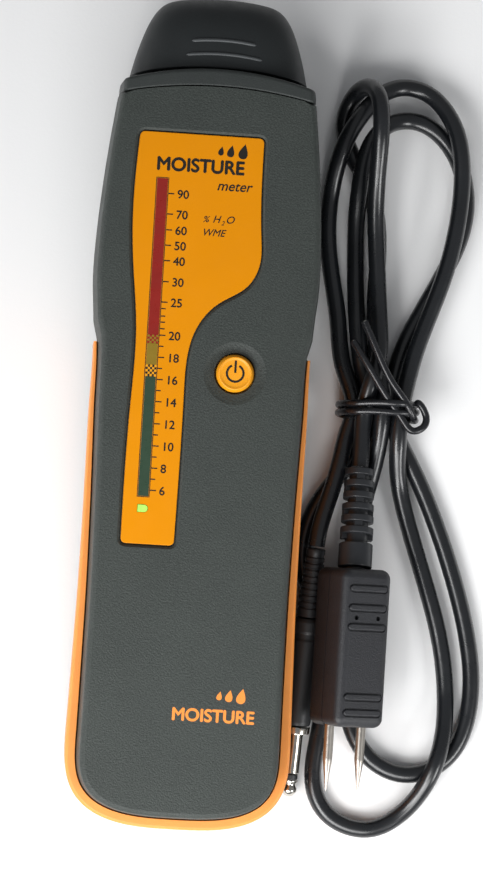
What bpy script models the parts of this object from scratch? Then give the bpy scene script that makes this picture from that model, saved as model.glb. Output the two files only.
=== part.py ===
"""Pin-type moisture meter with its remote two-pin probe lead.

The meter lies on its back. +X is to its right, +Y runs along it to the pins, +Z comes out of its face,
and the origin is at the middle of its rear face. Lengths are in millimetres until MM turns them to metres.
"""
import math

import bmesh
import bpy
import numpy as np
from mathutils import Matrix, Vector

MM = 0.001
GAP = 0.3

# Casing
CASE_DEPTH = 31.0
PARTING_Z = 15.5
WALL = 2.0
CASE_TOP_Y = 69.5
END_ARC_SAG = 2.5
BOTTOM_Y = -90.0
CORNER_START_Y = -72.0
CORNER_POWER = 2.9
TOP_HALF_WIDTH = 21.3
HALF_WIDTHS = [(69.5, TOP_HALF_WIDTH), (55.0, 23.0), (46.0, 23.8), (36.0, 24.4), (28.0, 24.5), (20.0, 23.9),
               (13.0, 23.5), (0.0, 23.6), (-20.0, 23.5), (-40.0, 23.6), (-55.0, 23.9), (-72.0, 24.3)]
FRONT_LEVELS = [(15.65, 0.0), (24.0, 0.35), (28.0, 0.6), (29.6, 1.1), (30.6, 2.1), (31.0, 3.6)]
REAR_LEVELS = [(15.35, 0.0), (8.0, 0.3), (4.0, 1.0), (1.6, 2.2), (0.4, 3.8), (0.0, 5.0)]

# Bumper band
BAND_TIP_LEFT_Y = 15.0
BAND_TIP_RIGHT_Y = 13.2
BAND_Z = (8.5, 22.5)
BAND_TIP_THICKNESS = 0.5
BAND_THICKNESS = 2.1
BAND_FULL_Y = -45.0

# Nose, pins and cap
COLLAR_HEIGHT = 3.7
COLLAR_SAG = 3.3
PIN_BLOCK = (11.0, 6.0)
PIN_SPACING = 12.0
PIN_RADIUS = 1.05
PIN_TIP_Y = 86.6
PIN_TAPER = 7.0
CAP_WALL = 1.5
CAP_BASE_Y = 73.9
CAP_SAG = 2.3
CAP_SECTIONS = [(0.0, 19.4, 13.6), (4.0, 18.4, 13.2), (8.0, 17.1, 12.5), (11.5, 15.6, 11.2),
                (14.0, 13.9, 9.2), (15.5, 11.8, 6.6), (16.1, 8.6, 4.0)]

# Face
LABEL_RECESS = 0.9
LABEL_THICKNESS = 0.4
LABEL_LEFT = [(-16.4, 59.1), (-17.0, 44.0), (-16.2, 30.3), (-14.8, 17.5), (-15.0, 0.7), (-15.3, -29.1)]
LABEL_RIGHT = [(-3.9, -29.1), (-3.7, 3.7), (-3.3, 12.6), (-1.8, 17.7), (2.9, 23.4), (8.2, 26.9),
               (10.8, 31.7), (10.8, 38.1), (10.2, 59.1)]
SCALE_X = (-12.2, -9.9)
SCALE_Y = (-18.9, 49.2)
LED_X = -11.0
LED_Y = -21.5
BUTTON_X = 6.9
BUTTON_Y = 8.4
BUTTON_RADIUS = 4.0
BUTTON_TOP_Z = 32.3
DISH_RADIUS = 6.8
DISH_DEPTH = 0.9

# Inside
BOARD_Z = (21.5, 23.1)
BATTERY = (26.5, 48.5, 17.5)
BATTERY_CENTRE = (0.0, -57.8, 11.2)
DOOR_HALF_WIDTH = 14.0
DOOR_TOP_Y = -32.3
DOOR_THICKNESS = 1.8
DOOR_LEVELS = [(0.0, 5.0), (0.4, 3.8), (1.6, 2.2), (DOOR_THICKNESS, 2.1)]
JACK_SOCKET_Y = 38.0
SCREW_PLACES = [(-15.5, 60.0), (15.5, 60.0), (-16.9, -66.0), (16.9, -66.0)]

# Remote probe
HANDLE_SIZE = (12.6, 34.5, 12.6)
HANDLE_CENTRE = (36.6, -48.75, 12.3)
HANDLE_ROLL = 28.0
HANDLE_WALL = 0.9
PROBE_PIN_OFFSET = 4.1
PROBE_PIN_LENGTH = 14.3
RELIEF_END = (36.8, -9.6, 8.2)
CORD_RADIUS = 1.9
CORD_STEP = 18.0
CORD_TIE_STEP = 7.0
TIE_Y = 3.6
CORD_TURN = 0.95
PLUG_COLLAR = (26.4, -68.4, 3.5)
PLUG_RELIEF_END = (28.2, -27.7, 7.6)
PLUG_BODY_LENGTH = 25.6
PLUG_BODY_RADIUS = 3.1
TIE_RADIUS = 0.8

# The cord's route, from the probe's strain relief to the jack plug's.
CORD_ROUTE = [
    (36.8, -9.2, 8.1), (36.85, -3.0, 7.5), (37.0, 3.6, 7.55), (38.1, 9.4, 9.2), (39.4, 15.0, 9.0),
    (39.3, 22.0, 7.3), (38.6, 30.0, 6.3), (37.8, 38.0, 6.6), (37.0, 46.0, 8.0), (36.6, 53.0, 10.6),
    (36.5, 60.0, 14.1), (36.3, 67.3, 15.8), (35.4, 72.5, 13.8), (33.2, 74.6, 9.0), (30.6, 72.4, 4.1),
    (29.2, 67.2, 2.0), (30.6, 61.6, 1.95), (33.6, 56.6, 1.95), (36.4, 51.0, 1.95), (38.1, 44.0, 1.95),
    (38.5, 35.0, 2.0), (38.6, 26.0, 2.1), (39.5, 17.5, 2.7), (40.6, 10.0, 5.4), (41.15, 3.6, 7.55),
    (40.9, -3.2, 6.0), (40.2, -9.0, 3.8), (38.8, -16.0, 2.1), (37.5, -26.0, 1.95), (36.9, -40.0, 1.95),
    (36.8, -53.0, 1.95), (37.6, -62.5, 1.95), (40.2, -69.5, 1.95), (44.8, -74.3, 1.95),
    (51.0, -76.3, 1.95), (57.0, -74.8, 1.95), (61.6, -70.6, 1.95), (64.2, -64.0, 1.95),
    (64.8, -55.0, 1.95), (63.0, -44.0, 1.95), (58.6, -30.0, 1.95), (53.6, -17.8, 1.95),
    (48.9, -8.5, 1.95), (45.4, -2.4, 2.6), (43.2, 3.6, 4.0), (43.5, 10.0, 2.5), (45.1, 17.2, 1.95),
    (48.4, 25.0, 1.95), (52.8, 34.0, 1.95), (56.2, 42.0, 1.95), (57.5, 50.0, 1.95), (56.4, 57.0, 1.95),
    (53.8, 62.4, 1.95), (50.0, 66.4, 1.95), (45.6, 68.4, 1.95), (41.4, 68.2, 2.8), (37.8, 66.2, 4.9),
    (35.3, 62.8, 6.2), (33.9, 58.5, 6.2), (33.2, 52.5, 5.8), (33.1, 46.0, 3.4), (33.4, 39.5, 1.95),
    (33.9, 31.0, 1.95), (34.9, 21.5, 1.95), (36.7, 12.5, 2.0), (39.0, 3.6, 4.0), (37.6, -3.2, 2.4),
    (34.8, -8.4, 1.95), (31.2, -13.2, 1.95), (28.0, -18.5, 1.95), (25.9, -25.0, 1.95),
    (25.9, -31.5, 1.95), (28.0, -37.2, 1.95), (30.9, -42.6, 1.95), (32.3, -49.0, 1.95),
    (32.5, -57.0, 1.95), (32.0, -66.0, 1.95), (31.0, -74.0, 1.95), (31.4, -80.6, 1.95),
    (34.2, -85.6, 1.95), (39.0, -88.4, 1.95), (44.6, -88.7, 1.95), (49.8, -86.0, 2.0),
    (54.0, -81.2, 3.6), (57.2, -74.4, 6.1), (59.0, -67.0, 4.4), (59.2, -58.0, 2.0), (57.2, -46.0, 1.95),
    (53.0, -33.0, 1.95), (48.9, -21.5, 1.95), (46.0, -12.0, 3.3), (45.0, -3.6, 7.1), (45.2, 3.6, 7.55),
    (46.2, 10.0, 7.0), (47.9, 17.5, 6.3), (50.4, 25.5, 6.1), (53.2, 34.5, 6.1), (55.3, 45.5, 6.15),
    (55.8, 56.0, 6.15), (54.4, 65.0, 6.0), (51.2, 71.4, 3.9), (46.9, 75.0, 2.6), (41.7, 75.8, 2.6),
    (36.9, 73.6, 4.4), (33.2, 69.4, 6.1), (30.2, 64.2, 6.2), (28.2, 58.0, 4.9), (27.2, 51.0, 2.3),
    (27.0, 43.8, 1.95), (28.3, 33.8, 1.95), (30.5, 22.8, 1.95), (32.2, 13.0, 2.3), (34.95, 3.6, 4.0),
    (33.7, -2.0, 4.5), (32.6, -7.5, 5.8), (31.4, -13.0, 6.4), (29.9, -18.5, 7.1), (28.6, -24.0, 7.7),
    (28.25, -27.1, 7.67)]

# The wire tie's two loose ends, each from its tip to the bundle's right side.
TIE_TAIL_A = [(35.5, 22.6, 12.6), (38.6, 16.4, 12.6), (42.6, 9.4, 12.2), (46.2, 4.8, 11.6)]
TIE_TAIL_B = [(33.4, 18.2, 12.0), (37.0, 12.8, 12.7), (41.8, 6.0, 12.0), (45.6, 1.2, 11.2)]
TIE_BUNDLE = [(34.95, 4.0), (43.2, 4.0), (45.2, 7.55), (37.0, 7.55)]
TIE_OFFSET = 3.35


def clear_scene():
    for item in list(bpy.data.objects):
        bpy.data.objects.remove(item, do_unlink=True)


def make_collection(name):
    collection = bpy.data.collections.new(name)
    bpy.context.scene.collection.children.link(collection)
    return collection


def make_material(name, colour, roughness, metallic=0.0):
    material = bpy.data.materials.new(name)
    material.use_nodes = True
    shader = material.node_tree.nodes["Principled BSDF"]
    shader.inputs["Base Color"].default_value = (*colour, 1.0)
    shader.inputs["Roughness"].default_value = roughness
    shader.inputs["Metallic"].default_value = metallic
    return material


clear_scene()
PARTS = make_collection("moisture_meter")
CUTTERS = make_collection("cutters")

CASE_PLASTIC = make_material("case_plastic", (0.09, 0.10, 0.095), 0.6)
CAP_PLASTIC = make_material("cap_plastic", (0.032, 0.036, 0.038), 0.5)
BLACK_PLASTIC = make_material("black_plastic", (0.02, 0.021, 0.024), 0.55)
BLACK_VINYL = make_material("black_vinyl", (0.02, 0.022, 0.025), 0.35)
BAND_RUBBER = make_material("orange_rubber", (0.75, 0.24, 0.05), 0.55)
LABEL_FILM = make_material("label_film", (0.81, 0.32, 0.003), 0.4)
SCALE_WINDOW = make_material("scale_window", (0.3, 0.03, 0.02), 0.3)
LED_GREEN = make_material("led_green", (0.5, 0.9, 0.4), 0.3)
BUTTON_YELLOW = make_material("button_yellow", (0.80, 0.36, 0.006), 0.45)
STEEL = make_material("steel", (0.6, 0.59, 0.57), 0.25, 1.0)
BRASS = make_material("brass", (0.7, 0.5, 0.2), 0.35, 1.0)
BOARD_GREEN = make_material("board_green", (0.02, 0.13, 0.04), 0.5)
BATTERY_CASE = make_material("battery_case", (0.05, 0.05, 0.06), 0.4)
WIRE_RED = make_material("wire_red", (0.5, 0.02, 0.02), 0.4)


def metres(point):
    return Vector(point) * MM


def place(item, collection, material=None):
    """Link a new object and give it its material."""
    for old in list(item.users_collection):
        old.objects.unlink(item)
    collection.objects.link(item)
    if material:
        item.data.materials.clear()
        item.data.materials.append(material)
    if collection is CUTTERS:
        item.hide_render = True
        item.display_type = 'WIRE'
    return item


def shade(item, angle=35.0):
    item.data.shade_smooth()
    item.data.set_sharp_from_angle(angle=math.radians(angle))
    return item


def object_from_bmesh(name, mesh_edit, collection, material):
    mesh = bpy.data.meshes.new(name)
    bmesh.ops.recalc_face_normals(mesh_edit, faces=mesh_edit.faces)
    mesh_edit.to_mesh(mesh)
    mesh_edit.free()
    return place(bpy.data.objects.new(name, mesh), collection, material)


def make_box(name, low, high, material=None, collection=None, bevel=0.0):
    """A box between two corners, with its edges bevelled where asked."""
    mesh_edit = bmesh.new()
    size = [high[i] - low[i] for i in range(3)]
    bmesh.ops.create_cube(mesh_edit, size=1.0, matrix=Matrix.Diagonal((*[s * MM for s in size], 1.0)))
    item = object_from_bmesh(name, mesh_edit, collection or PARTS, material)
    item.location = metres([(high[i] + low[i]) / 2 for i in range(3)])
    if bevel:
        rounding = item.modifiers.new("rounding", 'BEVEL')
        rounding.width = bevel * MM
        rounding.segments = 2
    return item


def make_cylinder(name, centre, radius, depth, axis='Z', material=None, collection=None, sides=24):
    mesh_edit = bmesh.new()
    bmesh.ops.create_cone(mesh_edit, cap_ends=True, segments=sides, radius1=radius * MM,
                          radius2=radius * MM, depth=depth * MM)
    item = object_from_bmesh(name, mesh_edit, collection or PARTS, material)
    turn = {'X': (0, math.pi / 2, 0), 'Y': (math.pi / 2, 0, 0), 'Z': (0, 0, 0)}
    item.rotation_euler = turn[axis]
    item.location = metres(centre)
    return item


def make_turned(name, profile, base, direction, material, collection=None, sides=20):
    """A turned piece. The profile is (radius, distance along direction from base), last point first."""
    mesh = bpy.data.meshes.new(name)
    points = [(radius * MM, 0.0, height * MM) for radius, height in reversed(profile)]
    edges = [(i, i + 1) for i in range(len(points) - 1)]
    mesh.from_pydata(points, edges, [])
    item = place(bpy.data.objects.new(name, mesh), collection or PARTS, material)
    screw = item.modifiers.new("turn", 'SCREW')
    screw.steps = sides
    screw.render_steps = sides
    screw.use_merge_vertices = True
    screw.merge_threshold = 0.00001
    screw.use_smooth_shade = True
    item.rotation_euler = Vector(direction).to_track_quat('Z', 'Y').to_euler()
    item.location = metres(base)
    return item


def make_plate(name, outline, low_z, high_z, material, collection=None):
    """A flat piece of the given outline: a filled curve made a mesh, with its caps welded."""
    curve = bpy.data.curves.new(name + "_outline", 'CURVE')
    curve.dimensions = '2D'
    curve.fill_mode = 'BOTH'
    curve.extrude = (high_z - low_z) / 2 * MM
    spline = curve.splines.new('POLY')
    spline.points.add(len(outline) - 1)
    for point, (x, y) in zip(spline.points, outline):
        point.co = (x * MM, y * MM, 0.0, 1.0)
    spline.use_cyclic_u = True
    guide = bpy.data.objects.new(name + "_outline", curve)
    PARTS.objects.link(guide)
    guide.location = (0, 0, (low_z + high_z) / 2 * MM)
    return curve_to_mesh(name, guide, material, collection or PARTS)


def curve_to_mesh(name, guide, material, collection):
    bpy.context.view_layer.update()
    evaluated = guide.evaluated_get(bpy.context.evaluated_depsgraph_get())
    mesh = bpy.data.meshes.new_from_object(evaluated)
    mesh.name = name
    mesh_edit = bmesh.new()
    mesh_edit.from_mesh(mesh)
    bmesh.ops.remove_doubles(mesh_edit, verts=mesh_edit.verts, dist=0.000001)
    bmesh.ops.recalc_face_normals(mesh_edit, faces=mesh_edit.faces)
    mesh_edit.to_mesh(mesh)
    mesh_edit.free()
    item = place(bpy.data.objects.new(name, mesh), collection, material)
    item.matrix_world = guide.matrix_world.copy()
    bpy.data.objects.remove(guide, do_unlink=True)
    return item


def make_tube(name, points, radius, material, resolution=2):
    """A round wire or cord along the points, with filled caps."""
    curve = bpy.data.curves.new(name, 'CURVE')
    curve.dimensions = '3D'
    curve.bevel_depth = radius * MM
    curve.bevel_resolution = resolution
    curve.use_fill_caps = True
    spline = curve.splines.new('POLY')
    spline.points.add(len(points) - 1)
    for point, place_mm in zip(spline.points, points):
        point.co = (*metres(place_mm), 1.0)
    return place(bpy.data.objects.new(name, curve), PARTS, material)


def cut(target, cutter, operation='DIFFERENCE'):
    boolean = target.modifiers.new(cutter.name, 'BOOLEAN')
    boolean.operation = operation
    boolean.object = cutter
    boolean.solver = 'EXACT'


def loft(name, rings, material, close_start=False, close_end=True, end_faces=()):
    """A skin through rings of equal length. Its ends are one face each, or those given by ring places."""
    mesh_edit = bmesh.new()
    rows = [[mesh_edit.verts.new(metres(p)) for p in ring] for ring in rings]
    for lower, upper in zip(rows, rows[1:]):
        for i in range(len(lower)):
            j = (i + 1) % len(lower)
            mesh_edit.faces.new((lower[i], lower[j], upper[j], upper[i]))
    for wanted, row in ((close_start, rows[0]), (close_end, rows[-1])):
        for face in end_faces or ([range(len(row))] if wanted else []):
            mesh_edit.faces.new([row[i] for i in face])
    return object_from_bmesh(name, mesh_edit, PARTS, material)


def smooth_curve(points, spacing):
    """Points at about the given spacing along the natural cubic spline through the given ones."""
    knots = np.array(points, dtype=float)
    steps = np.linalg.norm(np.diff(knots, axis=0), axis=1)
    along = np.concatenate([[0.0], np.cumsum(steps)])
    count = len(knots)
    matrix = np.eye(count)
    target = np.zeros_like(knots)
    for i in range(1, count - 1):
        before, after = steps[i - 1], steps[i]
        matrix[i, i - 1:i + 2] = (before, 2 * (before + after), after)
        target[i] = 6 * ((knots[i + 1] - knots[i]) / after - (knots[i] - knots[i - 1]) / before)
    bend = np.linalg.solve(matrix, target)
    places = np.linspace(0.0, along[-1], max(2, int(round(along[-1] / spacing)) + 1))
    result = []
    for distance in places:
        i = min(int(np.searchsorted(along, distance, side='right')) - 1, count - 2)
        length = steps[i]
        a = (along[i + 1] - distance) / length
        b = 1.0 - a
        curve = (a ** 3 - a) * bend[i] + (b ** 3 - b) * bend[i + 1]
        result.append(tuple(a * knots[i] + b * knots[i + 1] + curve * length ** 2 / 6))
    return result


def smoothstep(value):
    value = min(max(value, 0.0), 1.0)
    return value * value * (3 - 2 * value)


def half_width(y):
    """Half the casing's width at y, smooth between the driving stations."""
    stations = HALF_WIDTHS[::-1]
    ys = [s[0] for s in stations]
    widths = [s[1] for s in stations]
    y = min(max(y, ys[0]), ys[-1])
    i = min(max(int(np.searchsorted(ys, y, side='right')) - 1, 0), len(ys) - 2)
    slopes = np.gradient(widths, ys)
    length = ys[i + 1] - ys[i]
    t = (y - ys[i]) / length
    return ((2 * t ** 3 - 3 * t ** 2 + 1) * widths[i] + (t ** 3 - 2 * t ** 2 + t) * length * slopes[i]
            + (3 * t ** 2 - 2 * t ** 3) * widths[i + 1] + (t ** 3 - t ** 2) * length * slopes[i + 1])


def side_points(steps_down, steps_corner):
    """The outline's right side, from its top end down and round to the middle of the bottom."""
    points = []
    for i in range(steps_down):
        y = CASE_TOP_Y - END_ARC_SAG + (CORNER_START_Y - CASE_TOP_Y + END_ARC_SAG) * i / steps_down
        points.append((half_width(y), y))
    across = half_width(CORNER_START_Y)
    depth = CORNER_START_Y - BOTTOM_Y
    for i in range(steps_corner + 1):
        angle = math.pi / 2 * i / steps_corner
        x = across * math.cos(angle) ** (2 / CORNER_POWER)
        y = CORNER_START_Y - depth * math.sin(angle) ** (2 / CORNER_POWER)
        points.append((x, y))
    return points


def band_thickness(x, y):
    """How far the band stands inside the silhouette: nothing above its tips, full near the bottom."""
    tip = BAND_TIP_RIGHT_Y if x > 0 else BAND_TIP_LEFT_Y
    growth = (tip - y) / (tip - BAND_FULL_Y)
    return BAND_TIP_THICKNESS + (BAND_THICKNESS - BAND_TIP_THICKNESS) * min(max(growth, 0.0), 1.0) ** 0.8


def casing_step(x, y):
    """How far the casing's wall steps in to seat the band."""
    tip = BAND_TIP_RIGHT_Y if x > 0 else BAND_TIP_LEFT_Y
    return (band_thickness(x, y) + GAP) * smoothstep((tip + 4.0 - y) / 5.0)


def u_outline(steps_down=26, steps_corner=12):
    """The U from the right top end round the bottom to the left top end, with inward normals."""
    right = side_points(steps_down, steps_corner)
    left = [(-x, y) for x, y in reversed(right[:-1])]
    points = [Vector(p) for p in right + left]
    normals = []
    for i in range(len(points)):
        before = points[max(i - 1, 0)]
        after = points[min(i + 1, len(points) - 1)]
        along = (after - before).normalized()
        normals.append(Vector((along.y, -along.x)))
    return points, normals


def end_arc(half, count=7, top=CASE_TOP_Y, sag=END_ARC_SAG):
    """Points across the arched top end, from left to right, between its two corners."""
    return [(x, top - sag * (x / TOP_HALF_WIDTH) ** 2) for x in np.linspace(-half, half, count + 2)[1:-1]]


def case_ring(z, inset):
    points, normals = u_outline()
    ring = []
    for point, normal in zip(points, normals):
        moved = point + normal * (inset + casing_step(point.x, point.y))
        ring.append((moved.x, moved.y, z))
    ring += [(x, y, z) for x, y in end_arc(ring[0][0])]
    return ring


def make_shell(name, levels):
    """One casing half: a skin from the parting line to the flat face, thickened inwards."""
    rings = [case_ring(z, inset) for z, inset in levels]
    shell = loft(name, rings, CASE_PLASTIC)
    thickness = shell.modifiers.new("wall", 'SOLIDIFY')
    thickness.thickness = WALL * MM
    thickness.offset = -1.0
    thickness.use_even_offset = True
    return shade(shell)


def nose_hole():
    return make_box("nose_hole", (-PIN_BLOCK[0] - GAP, 60, PARTING_Z - PIN_BLOCK[1] - GAP),
                    (PIN_BLOCK[0] + GAP, 80, PARTING_Z + PIN_BLOCK[1] + GAP), None, CUTTERS)


def label_outline(grow=0.0):
    """The label's outline, anticlockwise, as a smooth curve down each side, grown sideways."""
    left = smooth_curve([(x, y, 0) for x, y in LABEL_LEFT], 8.0)
    right = smooth_curve([(x, y, 0) for x, y in LABEL_RIGHT], 3.0)
    top = LABEL_LEFT[0][1] + grow
    bottom = LABEL_LEFT[-1][1] - grow
    points = [(x - grow, min(max(y, bottom + 1.0), top - 1.0)) for x, y, z in left]
    points += [(left[-1][0] - grow + 1.0, bottom), (right[0][0] + grow - 1.0, bottom)]
    points += [(x + grow, min(max(y, bottom + 1.0), top - 1.0)) for x, y, z in right]
    points += [(right[-1][0] + grow - 1.0, top), (left[0][0] - grow + 1.0, top)]
    return points


def make_front_shell():
    shell = make_shell("front_shell", FRONT_LEVELS)
    recess = make_plate("label_recess", label_outline(GAP), CASE_DEPTH - LABEL_RECESS, CASE_DEPTH + 2,
                        None, CUTTERS)
    slot = make_box("scale_slot", (SCALE_X[0] - GAP, SCALE_Y[0] - GAP, 26),
                    (SCALE_X[1] + GAP, SCALE_Y[1] + GAP, 34), None, CUTTERS)
    led_hole = make_box("led_hole", (LED_X - 1.4, LED_Y - 1.1, 26), (LED_X + 1.4, LED_Y + 1.1, 34),
                        None, CUTTERS)
    sphere_radius = (DISH_RADIUS ** 2 + DISH_DEPTH ** 2) / (2 * DISH_DEPTH)
    arc = [(sphere_radius * math.sin(a), -sphere_radius * math.cos(a) + sphere_radius - DISH_DEPTH)
           for a in np.linspace(0.0, math.asin(DISH_RADIUS * 1.2 / sphere_radius), 4)]
    dish = make_turned("button_dish", arc + [(0.0, arc[-1][1])], (BUTTON_X, BUTTON_Y, CASE_DEPTH),
                       (0, 0, 1), None, CUTTERS, 32)
    hole = make_cylinder("button_hole", (BUTTON_X, BUTTON_Y, 30), BUTTON_RADIUS + GAP, 8, 'Z', None,
                         CUTTERS, 32)
    for cutter in (nose_hole(), jack_hole("jack_hole_front"), recess, slot, led_hole, dish, hole):
        cut(shell, cutter)
    return shell


def jack_hole(name):
    return make_cylinder(name, (20, JACK_SOCKET_Y, PARTING_Z), 3.3, 20, 'X', None, CUTTERS)


def make_rear_shell():
    shell = make_shell("rear_shell", REAR_LEVELS)
    for i, (x, y) in enumerate(SCREW_PLACES):
        boss = make_cylinder(f"boss_{i}", (x, y, 7.0), 3.0, 11.0, 'Z', None, CUTTERS, 16)
        cut(shell, boss, 'UNION')
    for i, (x, y) in enumerate(SCREW_PLACES):
        bore = make_cylinder(f"bore_{i}", (x, y, 7.0), 1.6, 20.0, 'Z', None, CUTTERS, 16)
        seat = make_cylinder(f"seat_{i}", (x, y, 0.0), 2.6, 5.0, 'Z', None, CUTTERS, 16)
        cut(shell, bore)
        cut(shell, seat)
    door = make_box("door_hole", (-DOOR_HALF_WIDTH - GAP, BOTTOM_Y - 2, -1),
                    (DOOR_HALF_WIDTH + GAP, DOOR_TOP_Y + GAP, DOOR_THICKNESS + GAP), None, CUTTERS)
    for cutter in (door, nose_hole(), jack_hole("jack_hole_rear")):
        cut(shell, cutter)
    return shell


def make_bumper_band():
    """The band: a section swept round the U, thin at its tips."""
    points, normals = u_outline(40, 12)
    low, high = BAND_Z
    rings = []
    for point, normal in zip(points, normals):
        tip = BAND_TIP_RIGHT_Y if point.x > 0 else BAND_TIP_LEFT_Y
        if point.y > tip:
            continue
        thick = band_thickness(point.x, point.y)
        section = [(0.4 * thick, low), (0.0, low + 1.2), (0.0, high - 1.2), (0.4 * thick, high),
                   (thick, high), (thick, low)]
        rings.append([(point.x + normal.x * n, point.y + normal.y * n, z) for n, z in section])
    band = loft("bumper_band", rings, BAND_RUBBER, close_start=True)
    return shade(band, 50)


def collar_ring(y_middle, sag, inset):
    """The casing's section with its arched end, for the collar."""
    right = [(TOP_HALF_WIDTH - d - inset, z) for z, d in reversed(REAR_LEVELS)]
    right += [(TOP_HALF_WIDTH - d - inset, z) for z, d in FRONT_LEVELS]
    half = right + [(-x, z) for x, z in reversed(right)]
    span = list(np.linspace(-0.72, 0.72, 7) * TOP_HALF_WIDTH)
    ring = half[:len(right)] + [(x, CASE_DEPTH) for x in reversed(span)] + half[len(right):]
    ring += [(x, 0.0) for x in span]
    low = 0.5 * inset
    high = CASE_DEPTH - low
    return [(x, y_middle - sag * (x / TOP_HALF_WIDTH) ** 2, min(max(z, low), high)) for x, z in ring]


def make_nose_collar():
    start = CASE_TOP_Y + GAP
    top = start + COLLAR_HEIGHT
    rings = [collar_ring(start, END_ARC_SAG, 0.0), collar_ring(top - 0.9, COLLAR_SAG, 0.0),
             collar_ring(top - 0.25, COLLAR_SAG, 0.25), collar_ring(top, COLLAR_SAG, 0.9)]
    edge = len(REAR_LEVELS) + len(FRONT_LEVELS)
    last = len(rings[0]) - 1
    ends = [[*range(edge + 1), last], [*range(edge + 6, last - 5)]]
    ends += [[edge + i, edge + i + 1, last - i - 1, last - i] for i in range(6)]
    collar = loft("nose_collar", rings, CASE_PLASTIC, end_faces=ends)
    collar.modifiers.new("flat_faces", 'TRIANGULATE')
    cut(collar, nose_hole())
    return shade(collar)


def make_pins():
    make_box("pin_block", (-PIN_BLOCK[0], 60.5, PARTING_Z - PIN_BLOCK[1]),
             (PIN_BLOCK[0], 76.0, PARTING_Z + PIN_BLOCK[1]), BLACK_PLASTIC, bevel=0.6)
    for side, name in ((-1, "left"), (1, "right")):
        x = side * PIN_SPACING / 2
        bore = make_cylinder("pin_bore_" + name, (x, 68, PARTING_Z), PIN_RADIUS + GAP, 30, 'Y', None,
                             CUTTERS, 16)
        cut(bpy.data.objects["pin_block"], bore)
        profile = [(0.0, 0.0), (PIN_RADIUS, 0.0), (PIN_RADIUS, PIN_TIP_Y - 58.0 - PIN_TAPER),
                   (0.0, PIN_TIP_Y - 58.0)]
        make_turned("measuring_pin_" + name, profile, (x, 58.0, PARTING_Z), (0, 1, 0), STEEL, sides=16)
        make_box("pin_contact_" + name, (x - 1.5, 56.9, 14.0), (x + 1.5, 57.7, 23.8), BRASS)


def cap_ring(height, half_x, half_z):
    """A superellipse section of the cap; its base follows the collar's arch."""
    ring = []
    power = 2 / 3.6
    fade = 1.0 - height / CAP_SECTIONS[-1][0]
    for i in range(40):
        angle = 2 * math.pi * i / 40
        across = math.copysign(abs(math.cos(angle)) ** power, math.cos(angle))
        up = math.copysign(abs(math.sin(angle)) ** power, math.sin(angle))
        y = CAP_BASE_Y + height - CAP_SAG * across ** 2 * (0.3 + 0.7 * fade)
        ring.append((half_x * across, y, PARTING_Z + half_z * up))
    return ring


def make_cap():
    cap = loft("cap", [cap_ring(*section) for section in CAP_SECTIONS], CAP_PLASTIC)
    wall = cap.modifiers.new("wall", 'SOLIDIFY')
    wall.thickness = CAP_WALL * MM
    wall.offset = -1.0
    wall.use_even_offset = True
    return shade(cap, 50)


def make_face():
    top = CASE_DEPTH - LABEL_RECESS + GAP + LABEL_THICKNESS
    label = make_plate("face_label", label_outline(), top - LABEL_THICKNESS, top, LABEL_FILM)
    for name in ("scale_slot", "led_hole"):
        cut(label, bpy.data.objects[name])
    make_box("scale_window", (SCALE_X[0], SCALE_Y[0], 28.4), (SCALE_X[1], SCALE_Y[1], top), SCALE_WINDOW)
    make_box("status_window", (LED_X - 1.1, LED_Y - 0.8, 28.4), (LED_X + 1.1, LED_Y + 0.8, top), LED_GREEN)
    bottom = 26.8
    profile = [(0.0, 0.0), (BUTTON_RADIUS + 0.9, 0.0), (BUTTON_RADIUS + 0.9, 1.4), (BUTTON_RADIUS, 1.4),
               (BUTTON_RADIUS, BUTTON_TOP_Z - bottom - 0.6), (BUTTON_RADIUS - 0.6, BUTTON_TOP_Z - bottom),
               (0.0, BUTTON_TOP_Z - bottom)]
    make_turned("power_button", profile, (BUTTON_X, BUTTON_Y, bottom), (0, 0, 1), BUTTON_YELLOW, sides=32)


def make_electronics():
    make_box("circuit_board", (-17.5, -28, BOARD_Z[0]), (17.5, 54, BOARD_Z[1]), BOARD_GREEN)
    top = BOARD_Z[1] + GAP
    under = BOARD_Z[0] - GAP
    make_box("light_bar", (SCALE_X[0] - 0.4, SCALE_Y[0] - 0.5, top), (SCALE_X[1] + 0.4, SCALE_Y[1], 28.0),
             BLACK_PLASTIC)
    make_box("microcontroller", (4, 26, top), (14, 36, top + 1.6), BLACK_PLASTIC)
    make_box("tactile_switch", (BUTTON_X - 3, BUTTON_Y - 3, top), (BUTTON_X + 3, BUTTON_Y + 3, 25.9),
             BLACK_PLASTIC)
    socket = make_box("jack_socket", (8.0, JACK_SOCKET_Y - 3.5, 12.0), (20.6, JACK_SOCKET_Y + 3.5, under),
                      BLACK_PLASTIC)
    barrel = make_cylinder("jack_barrel", (21.6, JACK_SOCKET_Y, PARTING_Z), 2.9, 4.0, 'X', None, CUTTERS)
    bore = make_cylinder("jack_bore", (18.0, JACK_SOCKET_Y, PARTING_Z), 1.85, 14.0, 'X', None, CUTTERS)
    cut(socket, barrel, 'UNION')
    cut(socket, bore)


def make_battery_door():
    """The sliding door. Its lower end follows the casing's rounded rear edge."""
    rings = []
    for z, inset in DOOR_LEVELS:
        edge = sorted((x, y) for x, y, _ in case_ring(z, inset) if y < CORNER_START_Y)
        spots = np.linspace(-DOOR_HALF_WIDTH, DOOR_HALF_WIDTH, 9)
        ends = np.interp(spots, [x for x, y in edge], [y for x, y in edge])
        ring = [(DOOR_HALF_WIDTH, DOOR_TOP_Y, z), (-DOOR_HALF_WIDTH, DOOR_TOP_Y, z)]
        rings.append(ring + [(x, y, z) for x, y in zip(spots, ends)])
    loft("battery_door", rings, CASE_PLASTIC, close_start=True)


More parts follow.
